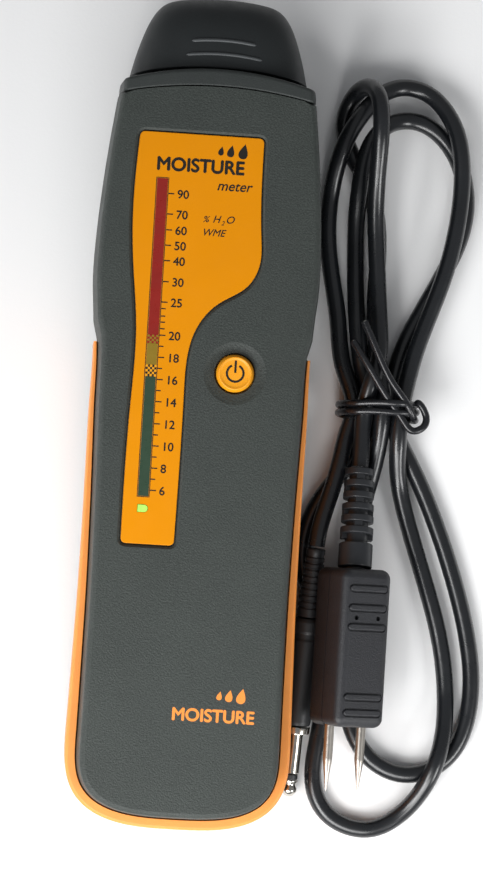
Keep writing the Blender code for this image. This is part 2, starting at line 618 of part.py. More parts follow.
def make_power():
    x, y, z = BATTERY_CENTRE
    width, length, depth = BATTERY
    front = y + length / 2
    make_box("battery", (x - width / 2, y - length / 2, z - depth / 2),
             (x + width / 2, front, z + depth / 2), BATTERY_CASE, bevel=1.5)
    make_box("battery_snap", (x - 12.5, front + GAP, z - 6), (x + 12.5, front + 3.0, z + 6), BLACK_PLASTIC,
             bevel=0.5)
    start_y = front + 3.0 + GAP
    for side, name, material in ((-1, "black", BLACK_VINYL), (1, "red", WIRE_RED)):
        route = [(side * 6.0, start_y, z), (side * 6.2, start_y + 3, z), (side * 7.2, start_y + 7, z + 3.5),
                 (side * 8.0, start_y + 9, BOARD_Z[0] - GAP)]
        make_tube("battery_lead_" + name, smooth_curve(route, 2.0), 0.6, material)
    make_battery_door()
    for i, (x, y) in enumerate(SCREW_PLACES):
        profile = [(0.0, 0.0), (2.3, 0.0), (2.3, 1.6), (1.3, 1.6), (1.3, 13.0), (0.0, 13.8)]
        make_turned(f"case_screw_{i + 1}", profile, (x, y, 0.5), (0, 0, 1), STEEL, sides=12)


def handle_frame():
    roll = Matrix.Rotation(math.radians(HANDLE_ROLL), 4, 'Y')
    return Matrix.Translation(metres(HANDLE_CENTRE)) @ roll


def in_handle(point):
    return handle_frame() @ metres(point)


def end_notch(name, x, y, radius):
    """A round cutter through one end of the handle."""
    notch = make_cylinder(name, (0, 0, 0), radius, 6, 'Y', None, CUTTERS, 20)
    spot = Matrix.Translation(metres((x, y, 0)))
    notch.matrix_world = handle_frame() @ spot @ Matrix.Rotation(math.pi / 2, 4, 'X')
    return notch


def make_handle():
    """The probe's two moulded halves, each a tray, with notches for the pins and the strain relief."""
    frame = handle_frame()
    half_x, half_y, half_z = [s / 2 for s in HANDLE_SIZE]
    inner = [s / 2 - HANDLE_WALL for s in HANDLE_SIZE]
    for sign, name in ((1, "front"), (-1, "rear")):
        block = make_box(f"probe_{name}_half", (-half_x, -half_y, -half_z), (half_x, half_y, half_z),
                         BLACK_PLASTIC, bevel=1.8)
        block.matrix_world = frame.copy()
        other = make_box(f"split_{name}", (-20, -30, -10), (20, 30, 10), None, CUTTERS)
        other.matrix_world = frame @ Matrix.Translation(metres((0, 0, -sign * (10 - GAP / 2))))
        cavity = make_box(f"cavity_{name}", [-s for s in inner], inner, None, CUTTERS)
        cavity.matrix_world = frame.copy()
        cut(block, other)
        cut(block, cavity)
        for side in (-1, 1):
            cut(block, end_notch(f"pin_notch_{name}_{side}", side * PROBE_PIN_OFFSET, -half_y, 1.4))
        cut(block, end_notch(f"neck_notch_{name}", 0.0, half_y, 3.3))


def make_probe():
    make_handle()
    half_y = HANDLE_SIZE[1] / 2
    for side, name in ((-1, "left"), (1, "right")):
        start = in_handle((side * PROBE_PIN_OFFSET, -half_y + 12.0, 0)) / MM
        total = 12.0 + PROBE_PIN_LENGTH
        profile = [(0.0, 0.0), (1.05, 0.0), (1.05, total - 7.2), (0.0, total)]
        make_turned("probe_pin_" + name, profile, start, (0, -1, 0), STEEL, sides=16)
    top = Vector(HANDLE_CENTRE) + Vector((0, half_y, 0))
    direction = (Vector(RELIEF_END) - top).normalized()
    length = (Vector(RELIEF_END) - top).length
    profile = [(0.0, -3.6), (3.6, -3.6), (3.6, -2.5), (2.4, -2.5), (2.4, 0.7), (3.8, 0.7), (3.8, 5.5),
               (3.15, length), (0.0, length)]
    make_turned("probe_strain_relief", profile, top, direction, BLACK_VINYL, sides=20)


def make_plug():
    """The jack plug, built along the line from its collar to its strain relief."""
    collar = Vector(PLUG_COLLAR)
    back = (Vector(PLUG_RELIEF_END) - collar).normalized()
    length = (Vector(PLUG_RELIEF_END) - collar).length
    radius = PLUG_BODY_RADIUS
    body = [(0.0, 1.8), (radius - 0.3, 1.8), (radius, 2.2), (radius, PLUG_BODY_LENGTH - 0.6),
            (radius - 0.6, PLUG_BODY_LENGTH), (0.0, PLUG_BODY_LENGTH)]
    make_turned("plug_body", body, collar, back, BLACK_PLASTIC)
    relief = [(0.0, PLUG_BODY_LENGTH + GAP), (2.6, PLUG_BODY_LENGTH + GAP), (2.15, length), (0.0, length)]
    make_turned("plug_strain_relief", relief, collar, back, BLACK_VINYL)
    sleeve = [(0.0, -9.0), (1.75, -9.0), (1.75, 0.0), (radius, 0.0), (radius, 1.5), (0.0, 1.5)]
    make_turned("plug_sleeve", sleeve, collar, back, STEEL)
    ring = [(0.0, -10.3), (1.6, -10.3), (1.6, -9.3), (0.0, -9.3)]
    make_turned("plug_insulator", ring, collar, back, BLACK_PLASTIC)
    tip = [(0.0, -14.3), (0.9, -14.1), (1.75, -12.9), (1.3, -11.7), (1.7, -10.6), (0.0, -10.6)]
    make_turned("plug_tip", tip, collar, back, STEEL)


def bundle_loop(turns, first_y, pitch):
    """The tie's path round the bundle: the four outer strands' hull, pushed out and rounded."""
    centre_x = sum(x for x, z in TIE_BUNDLE) / 4
    centre_z = sum(z for x, z in TIE_BUNDLE) / 4
    steps = 20
    points = []
    for i in range(int(turns * steps) + 1):
        angle = 2 * math.pi * i / steps
        direction = Vector((math.cos(angle), -math.sin(angle)))
        near = max(TIE_BUNDLE, key=lambda c: Vector((c[0] - centre_x, c[1] - centre_z)).dot(direction))
        x = near[0] + direction.x * TIE_OFFSET
        z = near[1] + direction.y * TIE_OFFSET
        points.append((x, first_y + pitch * i / steps, max(z, TIE_RADIUS + 0.1)))
    return points


def tie_route():
    """One wire: a loose end, two turns round the bundle, and the other loose end with its curl."""
    turns = bundle_loop(2.0, 1.8, 1.8)
    curl = [(48.6, 5.6, 9.6), (50.4, 3.2, 9.8), (50.0, 0.4, 10.4), (47.6, -0.6, 10.9)]
    route = TIE_TAIL_A + [(48.0, 2.0, 9.6)] + turns[1:-1:2] + curl + TIE_TAIL_B[::-1]
    return [(x, y, max(z, TIE_RADIUS + 0.1)) for x, y, z in smooth_curve(route, 1.9)]


def cord_points():
    """The cord's tube points: closer together at bends and in the tie, and none below the surface."""
    fine = [Vector(p) for p in smooth_curve(CORD_ROUTE, 0.5)]
    points = [fine[0]]
    share = 0.0
    for before, here, after in zip(fine, fine[1:], fine[2:]):
        step = CORD_TIE_STEP if abs(here.y - TIE_Y) < CORD_STEP / 2 else CORD_STEP
        share += (here - before).length / step + (here - before).angle(after - here) / CORD_TURN
        if share >= 1.0:
            share = 0.0
            points.append(here)
    points[-1] = fine[-1]
    return [(x, y, max(z, CORD_RADIUS + 0.05)) for x, y, z in points]


def main():
    make_front_shell()
    make_rear_shell()
    make_bumper_band()
    make_nose_collar()
    make_pins()
    make_cap()
    make_face()
    make_electronics()
    make_power()
    make_probe()
    make_plug()
    make_tube("probe_cord", cord_points(), CORD_RADIUS, BLACK_VINYL)
    make_tube("cord_tie", tie_route(), TIE_RADIUS, BLACK_VINYL)


main()
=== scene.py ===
"""Looks of a pin-type moisture meter and its remote probe lead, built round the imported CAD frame.

Everything is in the CAD frame: the meter lies on its back, +X to its right, +Y towards its pins and +Z out of
its face. Lengths are in millimetres until MM turns them to metres.
"""
import math

import bmesh
import bpy
import numpy as np
from mathutils import Matrix, Vector


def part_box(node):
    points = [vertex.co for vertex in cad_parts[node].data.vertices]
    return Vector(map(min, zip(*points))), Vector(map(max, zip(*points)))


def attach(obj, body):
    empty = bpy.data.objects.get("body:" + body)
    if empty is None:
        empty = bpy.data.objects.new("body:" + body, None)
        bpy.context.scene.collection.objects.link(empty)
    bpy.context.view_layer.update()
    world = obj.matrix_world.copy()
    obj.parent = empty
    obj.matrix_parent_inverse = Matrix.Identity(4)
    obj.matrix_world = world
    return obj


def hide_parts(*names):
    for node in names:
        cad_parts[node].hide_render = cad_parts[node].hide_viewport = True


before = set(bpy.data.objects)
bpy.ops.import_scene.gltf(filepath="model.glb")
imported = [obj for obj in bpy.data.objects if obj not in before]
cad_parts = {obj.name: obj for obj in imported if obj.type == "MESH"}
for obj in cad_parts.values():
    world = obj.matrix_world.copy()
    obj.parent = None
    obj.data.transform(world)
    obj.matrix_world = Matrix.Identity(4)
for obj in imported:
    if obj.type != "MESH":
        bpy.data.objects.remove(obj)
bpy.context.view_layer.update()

MM = 0.001
GAP = 0.3
LIFT = 0.02

# Casing
CASE_DEPTH = 31.0
PARTING_Z = 15.5
WALL = 2.0
TOP_HALF_WIDTH = 21.3
CASE_TOP_Y = 69.5
END_ARC_SAG = 2.5
BOTTOM_Y = -90.0
CORNER_START_Y = -72.0
CORNER_POWER = 2.9
HALF_WIDTHS = [(69.5, TOP_HALF_WIDTH), (55.0, 23.0), (46.0, 23.8), (36.0, 24.4), (28.0, 24.5), (20.0, 23.9),
               (13.0, 23.5), (0.0, 23.6), (-20.0, 23.5), (-40.0, 23.6), (-55.0, 23.9), (-72.0, 24.3)]
FACE_EDGE_RADIUS = 1.3
FACE_EDGE_INSET = 0.7
REAR_EDGE_Z = 8.0
REAR_EDGE_INSET = 0.3
REAR_EDGE_REACH = 4.7
SEAM_INSET = 0.12
SEAM_FROM_PARTING = (0.15, 0.35)
CLEAR_Z = 34.0

# Bumper band
BAND_TIP_LEFT_Y = 15.0
BAND_TIP_RIGHT_Y = 13.2
BAND_Z = (8.5, 22.5)
BAND_TIP_THICKNESS = 0.5
BAND_THICKNESS = 2.1
BAND_FULL_Y = -70.0
BAND_EDGE_HEIGHT = 1.2
BAND_INNER_STEP = 2.0

# Nose, pins and cap
COLLAR_HEIGHT = 3.7
COLLAR_SAG = 3.3
PIN_BLOCK = (11.0, 6.0)
PIN_SPACING = 12.0
PIN_RADIUS = 1.05
CAP_WALL = 1.5
CAP_BASE_Y = 73.9
CAP_SAG = 2.3
CAP_POWER = 3.6
CAP_SECTIONS = [(0.0, 19.4, 13.6), (4.0, 18.4, 13.2), (8.0, 17.1, 12.5), (11.5, 15.6, 11.2),
                (14.0, 13.9, 9.2), (15.5, 11.8, 6.6), (16.1, 8.6, 4.0)]
CAP_BARS = [(79.9, -6.6, 7.4), (76.9, -7.6, 8.8)]
CAP_BAR_HALF_WIDTH = 0.38
CAP_BAR_RISE = 0.34

# Face
LABEL_TOP = 30.8
LABEL_THICKNESS = 0.4
LABEL_LEFT = [(-16.4, 59.1), (-17.0, 44.0), (-16.2, 30.3), (-14.8, 17.5), (-15.0, 0.7), (-15.3, -29.1)]
LABEL_RIGHT = [(-3.9, -29.1), (-3.7, 3.7), (-3.3, 12.6), (-1.8, 17.7), (2.9, 23.4), (8.2, 26.9),
               (10.8, 31.7), (10.8, 38.1), (10.2, 59.1)]
LABEL_CORNER = 1.2
SCALE_X = (-12.2, -9.9)
SCALE_Y = (-18.9, 49.2)
SCALE_BASE_Z = 28.4
# Painted shade round the scale's window: the dark line's inner and outer distance from the window's edge.
GAP_SHADE_INNER = 0.06
GAP_SHADE_OUTER = 0.22
LED_X = -11.0
LED_Y = -21.5
BUTTON_X = 6.9
BUTTON_Y = 8.4
BUTTON_RADIUS = 4.0
BUTTON_TOP_Z = 32.3
DISH_RADIUS = 6.8
DISH_DEPTH = 0.9
JACK_SOCKET_Y = 38.0
SCREW_PLACES = [(-15.5, 60.0), (15.5, 60.0), (-16.9, -66.0), (16.9, -66.0)]
DOOR_HALF_WIDTH = 14.0
DOOR_TOP_Y = -32.3
DOOR_THICKNESS = 1.8
DOOR_LEVELS = [(0.0, 5.15), (0.15, 4.6), (0.4, 3.9), (1.0, 2.9), (1.6, 2.25), (DOOR_THICKNESS, 2.1)]
DOOR_CHAMFER = 0.25

# Remote probe
HANDLE_SIZE = (12.6, 34.5, 12.6)
HANDLE_CENTRE = (36.6, -48.75, 12.3)
HANDLE_ROLL = 28.0
HANDLE_EDGE_RADIUS = 2.1
HANDLE_SEAM = 0.09
GRIP_BAR_YS = (13.0, 8.8, 4.6, -10.6, -14.0)
GATE_PLACE = (2.8, 6.6)
GATE_RADIUS = 0.52
PROBE_PIN_OFFSET = 4.1
RELIEF_END = (36.8, -9.6, 8.2)
CORD_RADIUS = 1.9
PLUG_COLLAR = (26.4, -68.4, 3.5)
PLUG_RELIEF_END = (28.2, -27.7, 7.6)
PLUG_BODY_LENGTH = 25.6
PLUG_BODY_RADIUS = 3.1
TIE_RADIUS = 0.8
FLOOR_GAP = 0.05

# The cord's route, from the probe's strain relief to the jack plug's, as in the CAD model.
CORD_ROUTE = [
    (36.8, -9.2, 8.1), (36.85, -3.0, 7.5), (37.0, 3.6, 7.55), (38.1, 9.4, 9.2), (39.4, 15.0, 9.0),
    (39.3, 22.0, 7.3), (38.6, 30.0, 6.3), (37.8, 38.0, 6.6), (37.0, 46.0, 8.0), (36.6, 53.0, 10.6),
    (36.5, 60.0, 14.1), (36.3, 67.3, 15.8), (35.4, 72.5, 13.8), (33.2, 74.6, 9.0), (30.6, 72.4, 4.1),
    (29.2, 67.2, 2.0), (30.6, 61.6, 1.95), (33.6, 56.6, 1.95), (36.4, 51.0, 1.95), (38.1, 44.0, 1.95),
    (38.5, 35.0, 2.0), (38.6, 26.0, 2.1), (39.5, 17.5, 2.7), (40.6, 10.0, 5.4), (41.15, 3.6, 7.55),
    (40.9, -3.2, 6.0), (40.2, -9.0, 3.8), (38.8, -16.0, 2.1), (37.5, -26.0, 1.95), (36.9, -40.0, 1.95),
    (36.8, -53.0, 1.95), (37.6, -62.5, 1.95), (40.2, -69.5, 1.95), (44.8, -74.3, 1.95),
    (51.0, -76.3, 1.95), (57.0, -74.8, 1.95), (61.6, -70.6, 1.95), (64.2, -64.0, 1.95),
    (64.8, -55.0, 1.95), (63.0, -44.0, 1.95), (58.6, -30.0, 1.95), (53.6, -17.8, 1.95),
    (48.9, -8.5, 1.95), (45.4, -2.4, 2.6), (43.2, 3.6, 4.0), (43.5, 10.0, 2.5), (45.1, 17.2, 1.95),
    (48.4, 25.0, 1.95), (52.8, 34.0, 1.95), (56.2, 42.0, 1.95), (57.5, 50.0, 1.95), (56.4, 57.0, 1.95),
    (53.8, 62.4, 1.95), (50.0, 66.4, 1.95), (45.6, 68.4, 1.95), (41.4, 68.2, 2.8), (37.8, 66.2, 4.9),
    (35.3, 62.8, 6.2), (33.9, 58.5, 6.2), (33.2, 52.5, 5.8), (33.1, 46.0, 3.4), (33.4, 39.5, 1.95),
    (33.9, 31.0, 1.95), (34.9, 21.5, 1.95), (36.7, 12.5, 2.0), (39.0, 3.6, 4.0), (37.6, -3.2, 2.4),
    (34.8, -8.4, 1.95), (31.2, -13.2, 1.95), (28.0, -18.5, 1.95), (25.9, -25.0, 1.95),
    (25.9, -31.5, 1.95), (28.0, -37.2, 1.95), (30.9, -42.6, 1.95), (32.3, -49.0, 1.95),
    (32.5, -57.0, 1.95), (32.0, -66.0, 1.95), (31.0, -74.0, 1.95), (31.4, -80.6, 1.95),
    (34.2, -85.6, 1.95), (39.0, -88.4, 1.95), (44.6, -88.7, 1.95), (49.8, -86.0, 2.0),
    (54.0, -81.2, 3.6), (57.2, -74.4, 6.1), (59.0, -67.0, 4.4), (59.2, -58.0, 2.0), (57.2, -46.0, 1.95),
    (53.0, -33.0, 1.95), (48.9, -21.5, 1.95), (46.0, -12.0, 3.3), (45.0, -3.6, 7.1), (45.2, 3.6, 7.55),
    (46.2, 10.0, 7.0), (47.9, 17.5, 6.3), (50.4, 25.5, 6.1), (53.2, 34.5, 6.1), (55.3, 45.5, 6.15),
    (55.8, 56.0, 6.15), (54.4, 65.0, 6.0), (51.2, 71.4, 3.9), (46.9, 75.0, 2.6), (41.7, 75.8, 2.6),
    (36.9, 73.6, 4.4), (33.2, 69.4, 6.1), (30.2, 64.2, 6.2), (28.2, 58.0, 4.9), (27.2, 51.0, 2.3),
    (27.0, 43.8, 1.95), (28.3, 33.8, 1.95), (30.5, 22.8, 1.95), (32.2, 13.0, 2.3), (34.95, 3.6, 4.0),
    (33.7, -2.0, 4.5), (32.6, -7.5, 5.8), (31.4, -13.0, 6.4), (29.9, -18.5, 7.1), (28.6, -24.0, 7.7),
    (28.25, -27.1, 7.67)]

# The wire tie's two loose ends, each from its tip to the bundle's right side.
TIE_TAIL_A = [(35.5, 22.6, 12.6), (38.6, 16.4, 12.6), (42.6, 9.4, 12.2), (46.2, 4.8, 11.6)]
TIE_TAIL_B = [(33.4, 18.2, 12.0), (37.0, 12.8, 12.7), (41.8, 6.0, 12.0), (45.6, 1.2, 11.2)]
TIE_BUNDLE = [(34.95, 4.0), (43.2, 4.0), (45.2, 7.55), (37.0, 7.55)]
TIE_OFFSET = 3.35
TIE_LIFT = 0.1
TIE_ENTRY = (48.0, 2.0, 9.6)
TIE_CURL = [(48.6, 5.6, 9.6), (50.4, 3.2, 9.8), (50.0, 0.4, 10.4), (47.6, -0.6, 10.9)]

# Scale: the even marks from 20 down, the numbers above 20 with their places, and the marks without numbers.
SCALE_STEP = 2.37
SCALE_20_Y = 15.6
UPPER_MARKS = [(90, 46.0), (70, 41.6), (60, 38.2), (50, 34.9), (40, 31.6), (30, 27.1), (25, 22.7)]
MINOR_MARKS = [21.3, 19.7, 18.4, 17.0]

# Camera
CAMERA_TARGET = (10.0, -5.0, 15.0)
CAMERA_DISTANCE = 800.0
CAMERA_LEAN = (-3.0, -2.0)
CAMERA_TURN = 3.5
FRAME_HEIGHT = 191.5


# ---------------------------------------------------------------- materials

ROUGH_SPREAD = 0.06


def linear(colour):
    """An sRGB colour of 0 to 255 as linear values with alpha."""
    values = [c / 255 for c in colour]
    return [c / 12.92 if c <= 0.04045 else ((c + 0.055) / 1.055) ** 2.4 for c in values] + [1.0]


def add_node(tree, kind, **settings):
    node = tree.nodes.new(kind)
    for name, value in settings.items():
        setattr(node, name, value)
    return node


def noise(tree, size, detail=3.0, rough=0.6, stretch=(1.0, 1.0, 1.0)):
    """A noise texture's output, its features about the given size in millimetres."""
    place = add_node(tree, 'ShaderNodeTexCoord')
    scale = add_node(tree, 'ShaderNodeMapping')
    scale.inputs["Scale"].default_value = stretch
    texture = add_node(tree, 'ShaderNodeTexNoise')
    texture.inputs["Scale"].default_value = 1.0 / (size * MM)
    texture.inputs["Detail"].default_value = detail
    texture.inputs["Roughness"].default_value = rough
    tree.links.new(place.outputs["Object"], scale.inputs["Vector"])
    tree.links.new(scale.outputs["Vector"], texture.inputs["Vector"])
    return texture.outputs["Fac"]


def ramp(tree, value, low, high, out_low, out_high):
    spread = add_node(tree, 'ShaderNodeMapRange')
    for name, number in (("From Min", low), ("From Max", high), ("To Min", out_low), ("To Max", out_high)):
        spread.inputs[name].default_value = number
    tree.links.new(value, spread.inputs["Value"])
    return spread.outputs["Result"]


def bump(tree, height, depth, before=None):
    """Relief of the given depth in millimetres."""
    relief = add_node(tree, 'ShaderNodeBump')
    relief.inputs["Distance"].default_value = depth * MM
    relief.inputs["Strength"].default_value = 1.0
    tree.links.new(height, relief.inputs["Height"])
    if before:
        tree.links.new(before, relief.inputs["Normal"])
    return relief.outputs["Normal"]


def surface(name, colour, roughness, metallic=0.0, mottle=(0.06, 6.0), grain=(0.0, 0.5), wave=None,
            stretch=(1.0, 1.0, 1.0), speckle=0.0, **sockets):
    """A procedural finish: mottled and speckled colour, uneven roughness, a grain and soft waviness.

    The mottle is a strength and a size, and the grain and the wave are a depth and a size, in millimetres.
    """
    material = bpy.data.materials.new(name)
    material.use_nodes = True
    tree = material.node_tree
    shader = tree.nodes["Principled BSDF"]
    shader.inputs["Metallic"].default_value = metallic
    for socket, value in sockets.items():
        shader.inputs[socket.replace("_", " ")].default_value = value
    base = linear(colour)
    strength, patch_size = mottle
    patches = noise(tree, patch_size, 4.0)
    shades = add_node(tree, 'ShaderNodeMix', data_type='RGBA')
    shades.inputs["A"].default_value = [c * (1 - strength) for c in base[:3]] + [1.0]
    shades.inputs["B"].default_value = [min(1.0, c * (1 + strength)) for c in base[:3]] + [1.0]
    tree.links.new(ramp(tree, patches, 0.3, 0.7, 0.0, 1.0), shades.inputs["Factor"])
    result = shades.outputs["Result"]
    if speckle:
        dots = add_node(tree, 'ShaderNodeVectorMath', operation='SCALE')
        tree.links.new(result, dots.inputs[0])
        fine = ramp(tree, noise(tree, grain[1], 1.5), 0.35, 0.65, 1 - speckle, 1 + speckle)
        tree.links.new(fine, dots.inputs["Scale"])
        result = dots.outputs["Vector"]
    tree.links.new(result, shader.inputs["Base Color"])
    uneven = noise(tree, patch_size * 0.4, 5.0)
    tree.links.new(ramp(tree, uneven, 0.3, 0.7, roughness - ROUGH_SPREAD, roughness + ROUGH_SPREAD),
                   shader.inputs["Roughness"])
    normal = None
    if wave:
        normal = bump(tree, noise(tree, wave[1], 2.0), wave[0])
    if grain[0]:
        normal = bump(tree, noise(tree, grain[1], 2.0, 0.5, stretch), grain[0], normal)
    if normal:
        tree.links.new(normal, shader.inputs["Normal"])
    return material


def glow(material, colour, strength):
    shader = material.node_tree.nodes["Principled BSDF"]
    shader.inputs["Emission Color"].default_value = linear(colour)
    shader.inputs["Emission Strength"].default_value = strength
    return material


CASE = surface("case_abs", (48, 53, 50), 0.56, mottle=(0.07, 14), grain=(0.11, 0.36), speckle=0.24,
               Specular_IOR_Level=0.4)
COLLAR = surface("collar_abs", (44, 48, 47), 0.52, mottle=(0.05, 10), grain=(0.05, 0.32), speckle=0.1,
                 Specular_IOR_Level=0.4)
CAP = surface("cap_abs", (33, 36, 37), 0.5, mottle=(0.05, 9), grain=(0.02, 0.28), speckle=0.05,
              Specular_IOR_Level=0.3)
# Painted highlight: the grip bars are the cap's own plastic, coloured lighter to stand in for the light
# caught along their ridges.
CAP_BAR_HIGHLIGHT = surface("cap_bar_painted_highlight", (62, 65, 67), 0.45, mottle=(0.06, 5), grain=(0.01, 0.25))
BAND = surface("band_elastomer", (228, 142, 62), 0.52, mottle=(0.05, 7), grain=(0.02, 0.3),
               Subsurface_Weight=0.08, Subsurface_Scale=0.002)
LABEL = surface("label_film", (208, 130, 0), 0.36, mottle=(0.02, 12), grain=(0.008, 0.22),
                Specular_IOR_Level=0.2)
INK = surface("label_ink", (24, 20, 14), 0.4, mottle=(0.1, 3), grain=(0.004, 0.2))
CASE_INK = surface("case_ink", (226, 134, 52), 0.5, mottle=(0.05, 3), grain=(0.03, 0.34))
RED = surface("scale_red", (128, 26, 18), 0.3, mottle=(0.06, 4), grain=(0.003, 0.3))
OLIVE = surface("scale_olive", (128, 104, 26), 0.3, mottle=(0.06, 3), grain=(0.003, 0.3))
AMBER = surface("scale_amber", (214, 146, 20), 0.3, mottle=(0.06, 3), grain=(0.003, 0.3))
GREEN = surface("scale_green", (42, 62, 46), 0.3, mottle=(0.06, 4), grain=(0.003, 0.3))
LED = glow(surface("led_lens", (165, 222, 96), 0.25, mottle=(0.1, 0.8)), (150, 255, 90), 0.1)
BUTTON = surface("button_silicone", (222, 146, 10), 0.42, mottle=(0.03, 5), grain=(0.006, 0.25),
                 Subsurface_Weight=0.05, Subsurface_Scale=0.001)
PROBE = surface("probe_plastic", (29, 30, 34), 0.48, mottle=(0.08, 6), grain=(0.08, 0.34), speckle=0.14)
BLACK = surface("black_plastic", (34, 36, 38), 0.45, mottle=(0.08, 5), grain=(0.02, 0.3))
CORD = surface("cord_pvc", (20, 22, 25), 0.3, mottle=(0.12, 9), grain=(0.01, 0.6), wave=(0.06, 7.0),
               Coat_Weight=0.25, Coat_Roughness=0.2)
RELIEF = surface("relief_pvc", (31, 33, 36), 0.42, mottle=(0.1, 4), grain=(0.014, 0.3))
TIE = surface("tie_vinyl", (24, 25, 28), 0.28, mottle=(0.12, 3), grain=(0.008, 0.4))
STEEL = surface("turned_steel", (182, 176, 168), 0.34, 1.0, mottle=(0.08, 2.5), grain=(0.004, 0.12),
                stretch=(0.15, 1.0, 0.15))
NICKEL = surface("nickel_plate", (200, 196, 188), 0.16, 1.0, mottle=(0.05, 2), grain=(0.002, 0.15))
BRASS = surface("brass_strip", (190, 150, 84), 0.3, 1.0, mottle=(0.1, 2), grain=(0.004, 0.15))
BOARD = surface("board_laminate", (24, 84, 48), 0.4, mottle=(0.1, 2), grain=(0.01, 0.5))
BATTERY = surface("battery_jacket", (52, 52, 60), 0.34, mottle=(0.1, 8), grain=(0.01, 0.8))
RED_WIRE = surface("red_wire", (150, 26, 22), 0.35, mottle=(0.08, 2), grain=(0.01, 0.4))


# ---------------------------------------------------------------- shapes

def metres(point):
    return Vector(point) * MM


def placed(name, data):
    """A new object with the data, in the scene."""
    item = bpy.data.objects.new(name, data)
    bpy.context.scene.collection.objects.link(item)
    return item


def object_from_bmesh(name, edit, material=None):
    mesh = bpy.data.meshes.new(name)
    bmesh.ops.recalc_face_normals(edit, faces=edit.faces)
    edit.to_mesh(mesh)
    edit.free()
    item = placed(name, mesh)
    if material:
        mesh.materials.append(material)
    return item


def bake(item, matrix=None):
    """Applies the modifiers, and the matrix if one is given, to the item's own mesh."""
    bpy.context.view_layer.update()
    evaluated = item.evaluated_get(bpy.context.evaluated_depsgraph_get())
    mesh = bpy.data.meshes.new_from_object(evaluated)
    if matrix is not None:
        mesh.transform(matrix)
    mesh.name = item.name
    if item.type != 'MESH':
        replacement = placed(item.name + "_mesh", mesh)
        name = item.name
        bpy.data.objects.remove(item, do_unlink=True)
        replacement.name = name
        return replacement
    item.modifiers.clear()
    item.data = mesh
    return item


def smooth(item, angle=32.0):
    """Smooth shading with crisp edges, its flat faces kept flat by weighted normals."""
    item.data.shade_smooth()
    item.data.set_sharp_from_angle(angle=math.radians(angle))
    weighted = item.modifiers.new("weighted_normals", 'WEIGHTED_NORMAL')
    weighted.keep_sharp = True
    return item


def carve(item, cutters):
    for cutter in cutters:
        boolean = item.modifiers.new(cutter.name, 'BOOLEAN')
        boolean.operation = 'DIFFERENCE'
        boolean.object = cutter
        boolean.solver = 'EXACT'
    bake(item)
    for cutter in cutters:
        bpy.data.objects.remove(cutter, do_unlink=True)
    return item


def join(name, items):
    """One object from several, each keeping its own material."""
    edit = bmesh.new()
    materials = []
    for item in items:
        mesh = item.data.copy()
        mesh.transform(item.matrix_world)
        for face in mesh.polygons:
            material = item.data.materials[face.material_index]
            if material not in materials:
                materials.append(material)
            face.material_index = materials.index(material)
        edit.from_mesh(mesh)
        bpy.data.objects.remove(item, do_unlink=True)
    mesh = bpy.data.meshes.new(name)
    edit.to_mesh(mesh)
    edit.free()
    for material in materials:
        mesh.materials.append(material)
    return placed(name, mesh)


def loft(name, rings, material=None, ends=True, closed_loop=False):
    """A skin through rings of equal length, with its ends filled, or joined to each other."""
    edit = bmesh.new()
    rows = [[edit.verts.new(metres(p)) for p in ring] for ring in rings]
    pairs = list(zip(rows, rows[1:]))
    if closed_loop:
        pairs.append((rows[-1], rows[0]))
    for lower, upper in pairs:
        for i in range(len(lower)):
            j = (i + 1) % len(lower)
            edit.faces.new((lower[i], lower[j], upper[j], upper[i]))
    if ends and not closed_loop:
        edit.faces.new(rows[0])
        edit.faces.new(rows[-1])
    return object_from_bmesh(name, edit, material)


def box(name, low, high, material=None, bevel=0.0, segments=3):
    edit = bmesh.new()
    size = [(high[i] - low[i]) * MM for i in range(3)]
    middle = metres([(high[i] + low[i]) / 2 for i in range(3)])
    bmesh.ops.create_cube(edit, size=1.0, matrix=Matrix.Translation(middle) @ Matrix.Diagonal((*size, 1.0)))
    if bevel:
        bmesh.ops.bevel(edit, geom=edit.edges[:], offset=bevel * MM, segments=segments, profile=0.5,
                        affect='EDGES')
    return object_from_bmesh(name, edit, material)


def turned(name, profile, base, direction, material=None, sides=48):
    """A turned piece from (radius, distance along direction) points, first and last on or near the axis."""
    turn = Vector(direction).to_track_quat('Z', 'Y').to_matrix().to_4x4()
    place = Matrix.Translation(Vector(base)) @ turn
    rings = []
    for radius, height in profile:
        ring = []
        for i in range(sides):
            angle = 2 * math.pi * i / sides
            spot = Vector((max(radius, 0.01) * math.cos(angle), max(radius, 0.01) * math.sin(angle), height))
            ring.append(place @ spot)
        rings.append(ring)
    return loft(name, rings, material)


def rounded(profile, radius, steps=4):
    """The profile with its inner corners rounded by short arcs."""
    points = [Vector(p) for p in profile]
    result = [points[0]]
    for before, here, after in zip(points, points[1:], points[2:]):
        reach = min(radius, (here - before).length * 0.45, (after - here).length * 0.45)
        start = here + (before - here).normalized() * reach
        end = here + (after - here).normalized() * reach
        for i in range(steps + 1):
            t = i / steps
            result.append(start * (1 - t) ** 2 + here * 2 * t * (1 - t) + end * t ** 2)
    return [tuple(p) for p in result + [points[-1]]]


def outward(outline, distance):
    """A closed, anticlockwise outline moved outwards by the distance."""
    points = [Vector(p) for p in outline]
    moved = []
    for i, here in enumerate(points):
        before = (here - points[i - 1]).normalized()
        after = (points[(i + 1) % len(points)] - here).normalized()
        normal = Vector((before.y + after.y, -before.x - after.x))
        if normal.length < 1e-6:
            normal = Vector((after.y, -after.x))
        normal.normalize()
        miter = max(0.5, normal.dot(Vector((after.y, -after.x))))
        moved.append(here + normal * distance / miter)
    return [tuple(p) for p in moved]


def slab(name, outline, levels, material=None):
    """A closed plate of the outline, each level a height and how far its outline is moved outwards."""
    rings = [[(x, y, z) for x, y in outward(outline, grow)] for z, grow in levels]
    return loft(name, rings, material)


def soft_slab(name, outline, low, high, material, radius):
    """A plate with its upper edge rounded."""
    levels = [(low, 0.0), (high - radius, 0.0)]
    levels += [(high - radius + radius * math.sin(a), radius * (math.cos(a) - 1))
               for a in np.linspace(0.3, math.pi / 2, 5)]
    return slab(name, outline, levels, material)


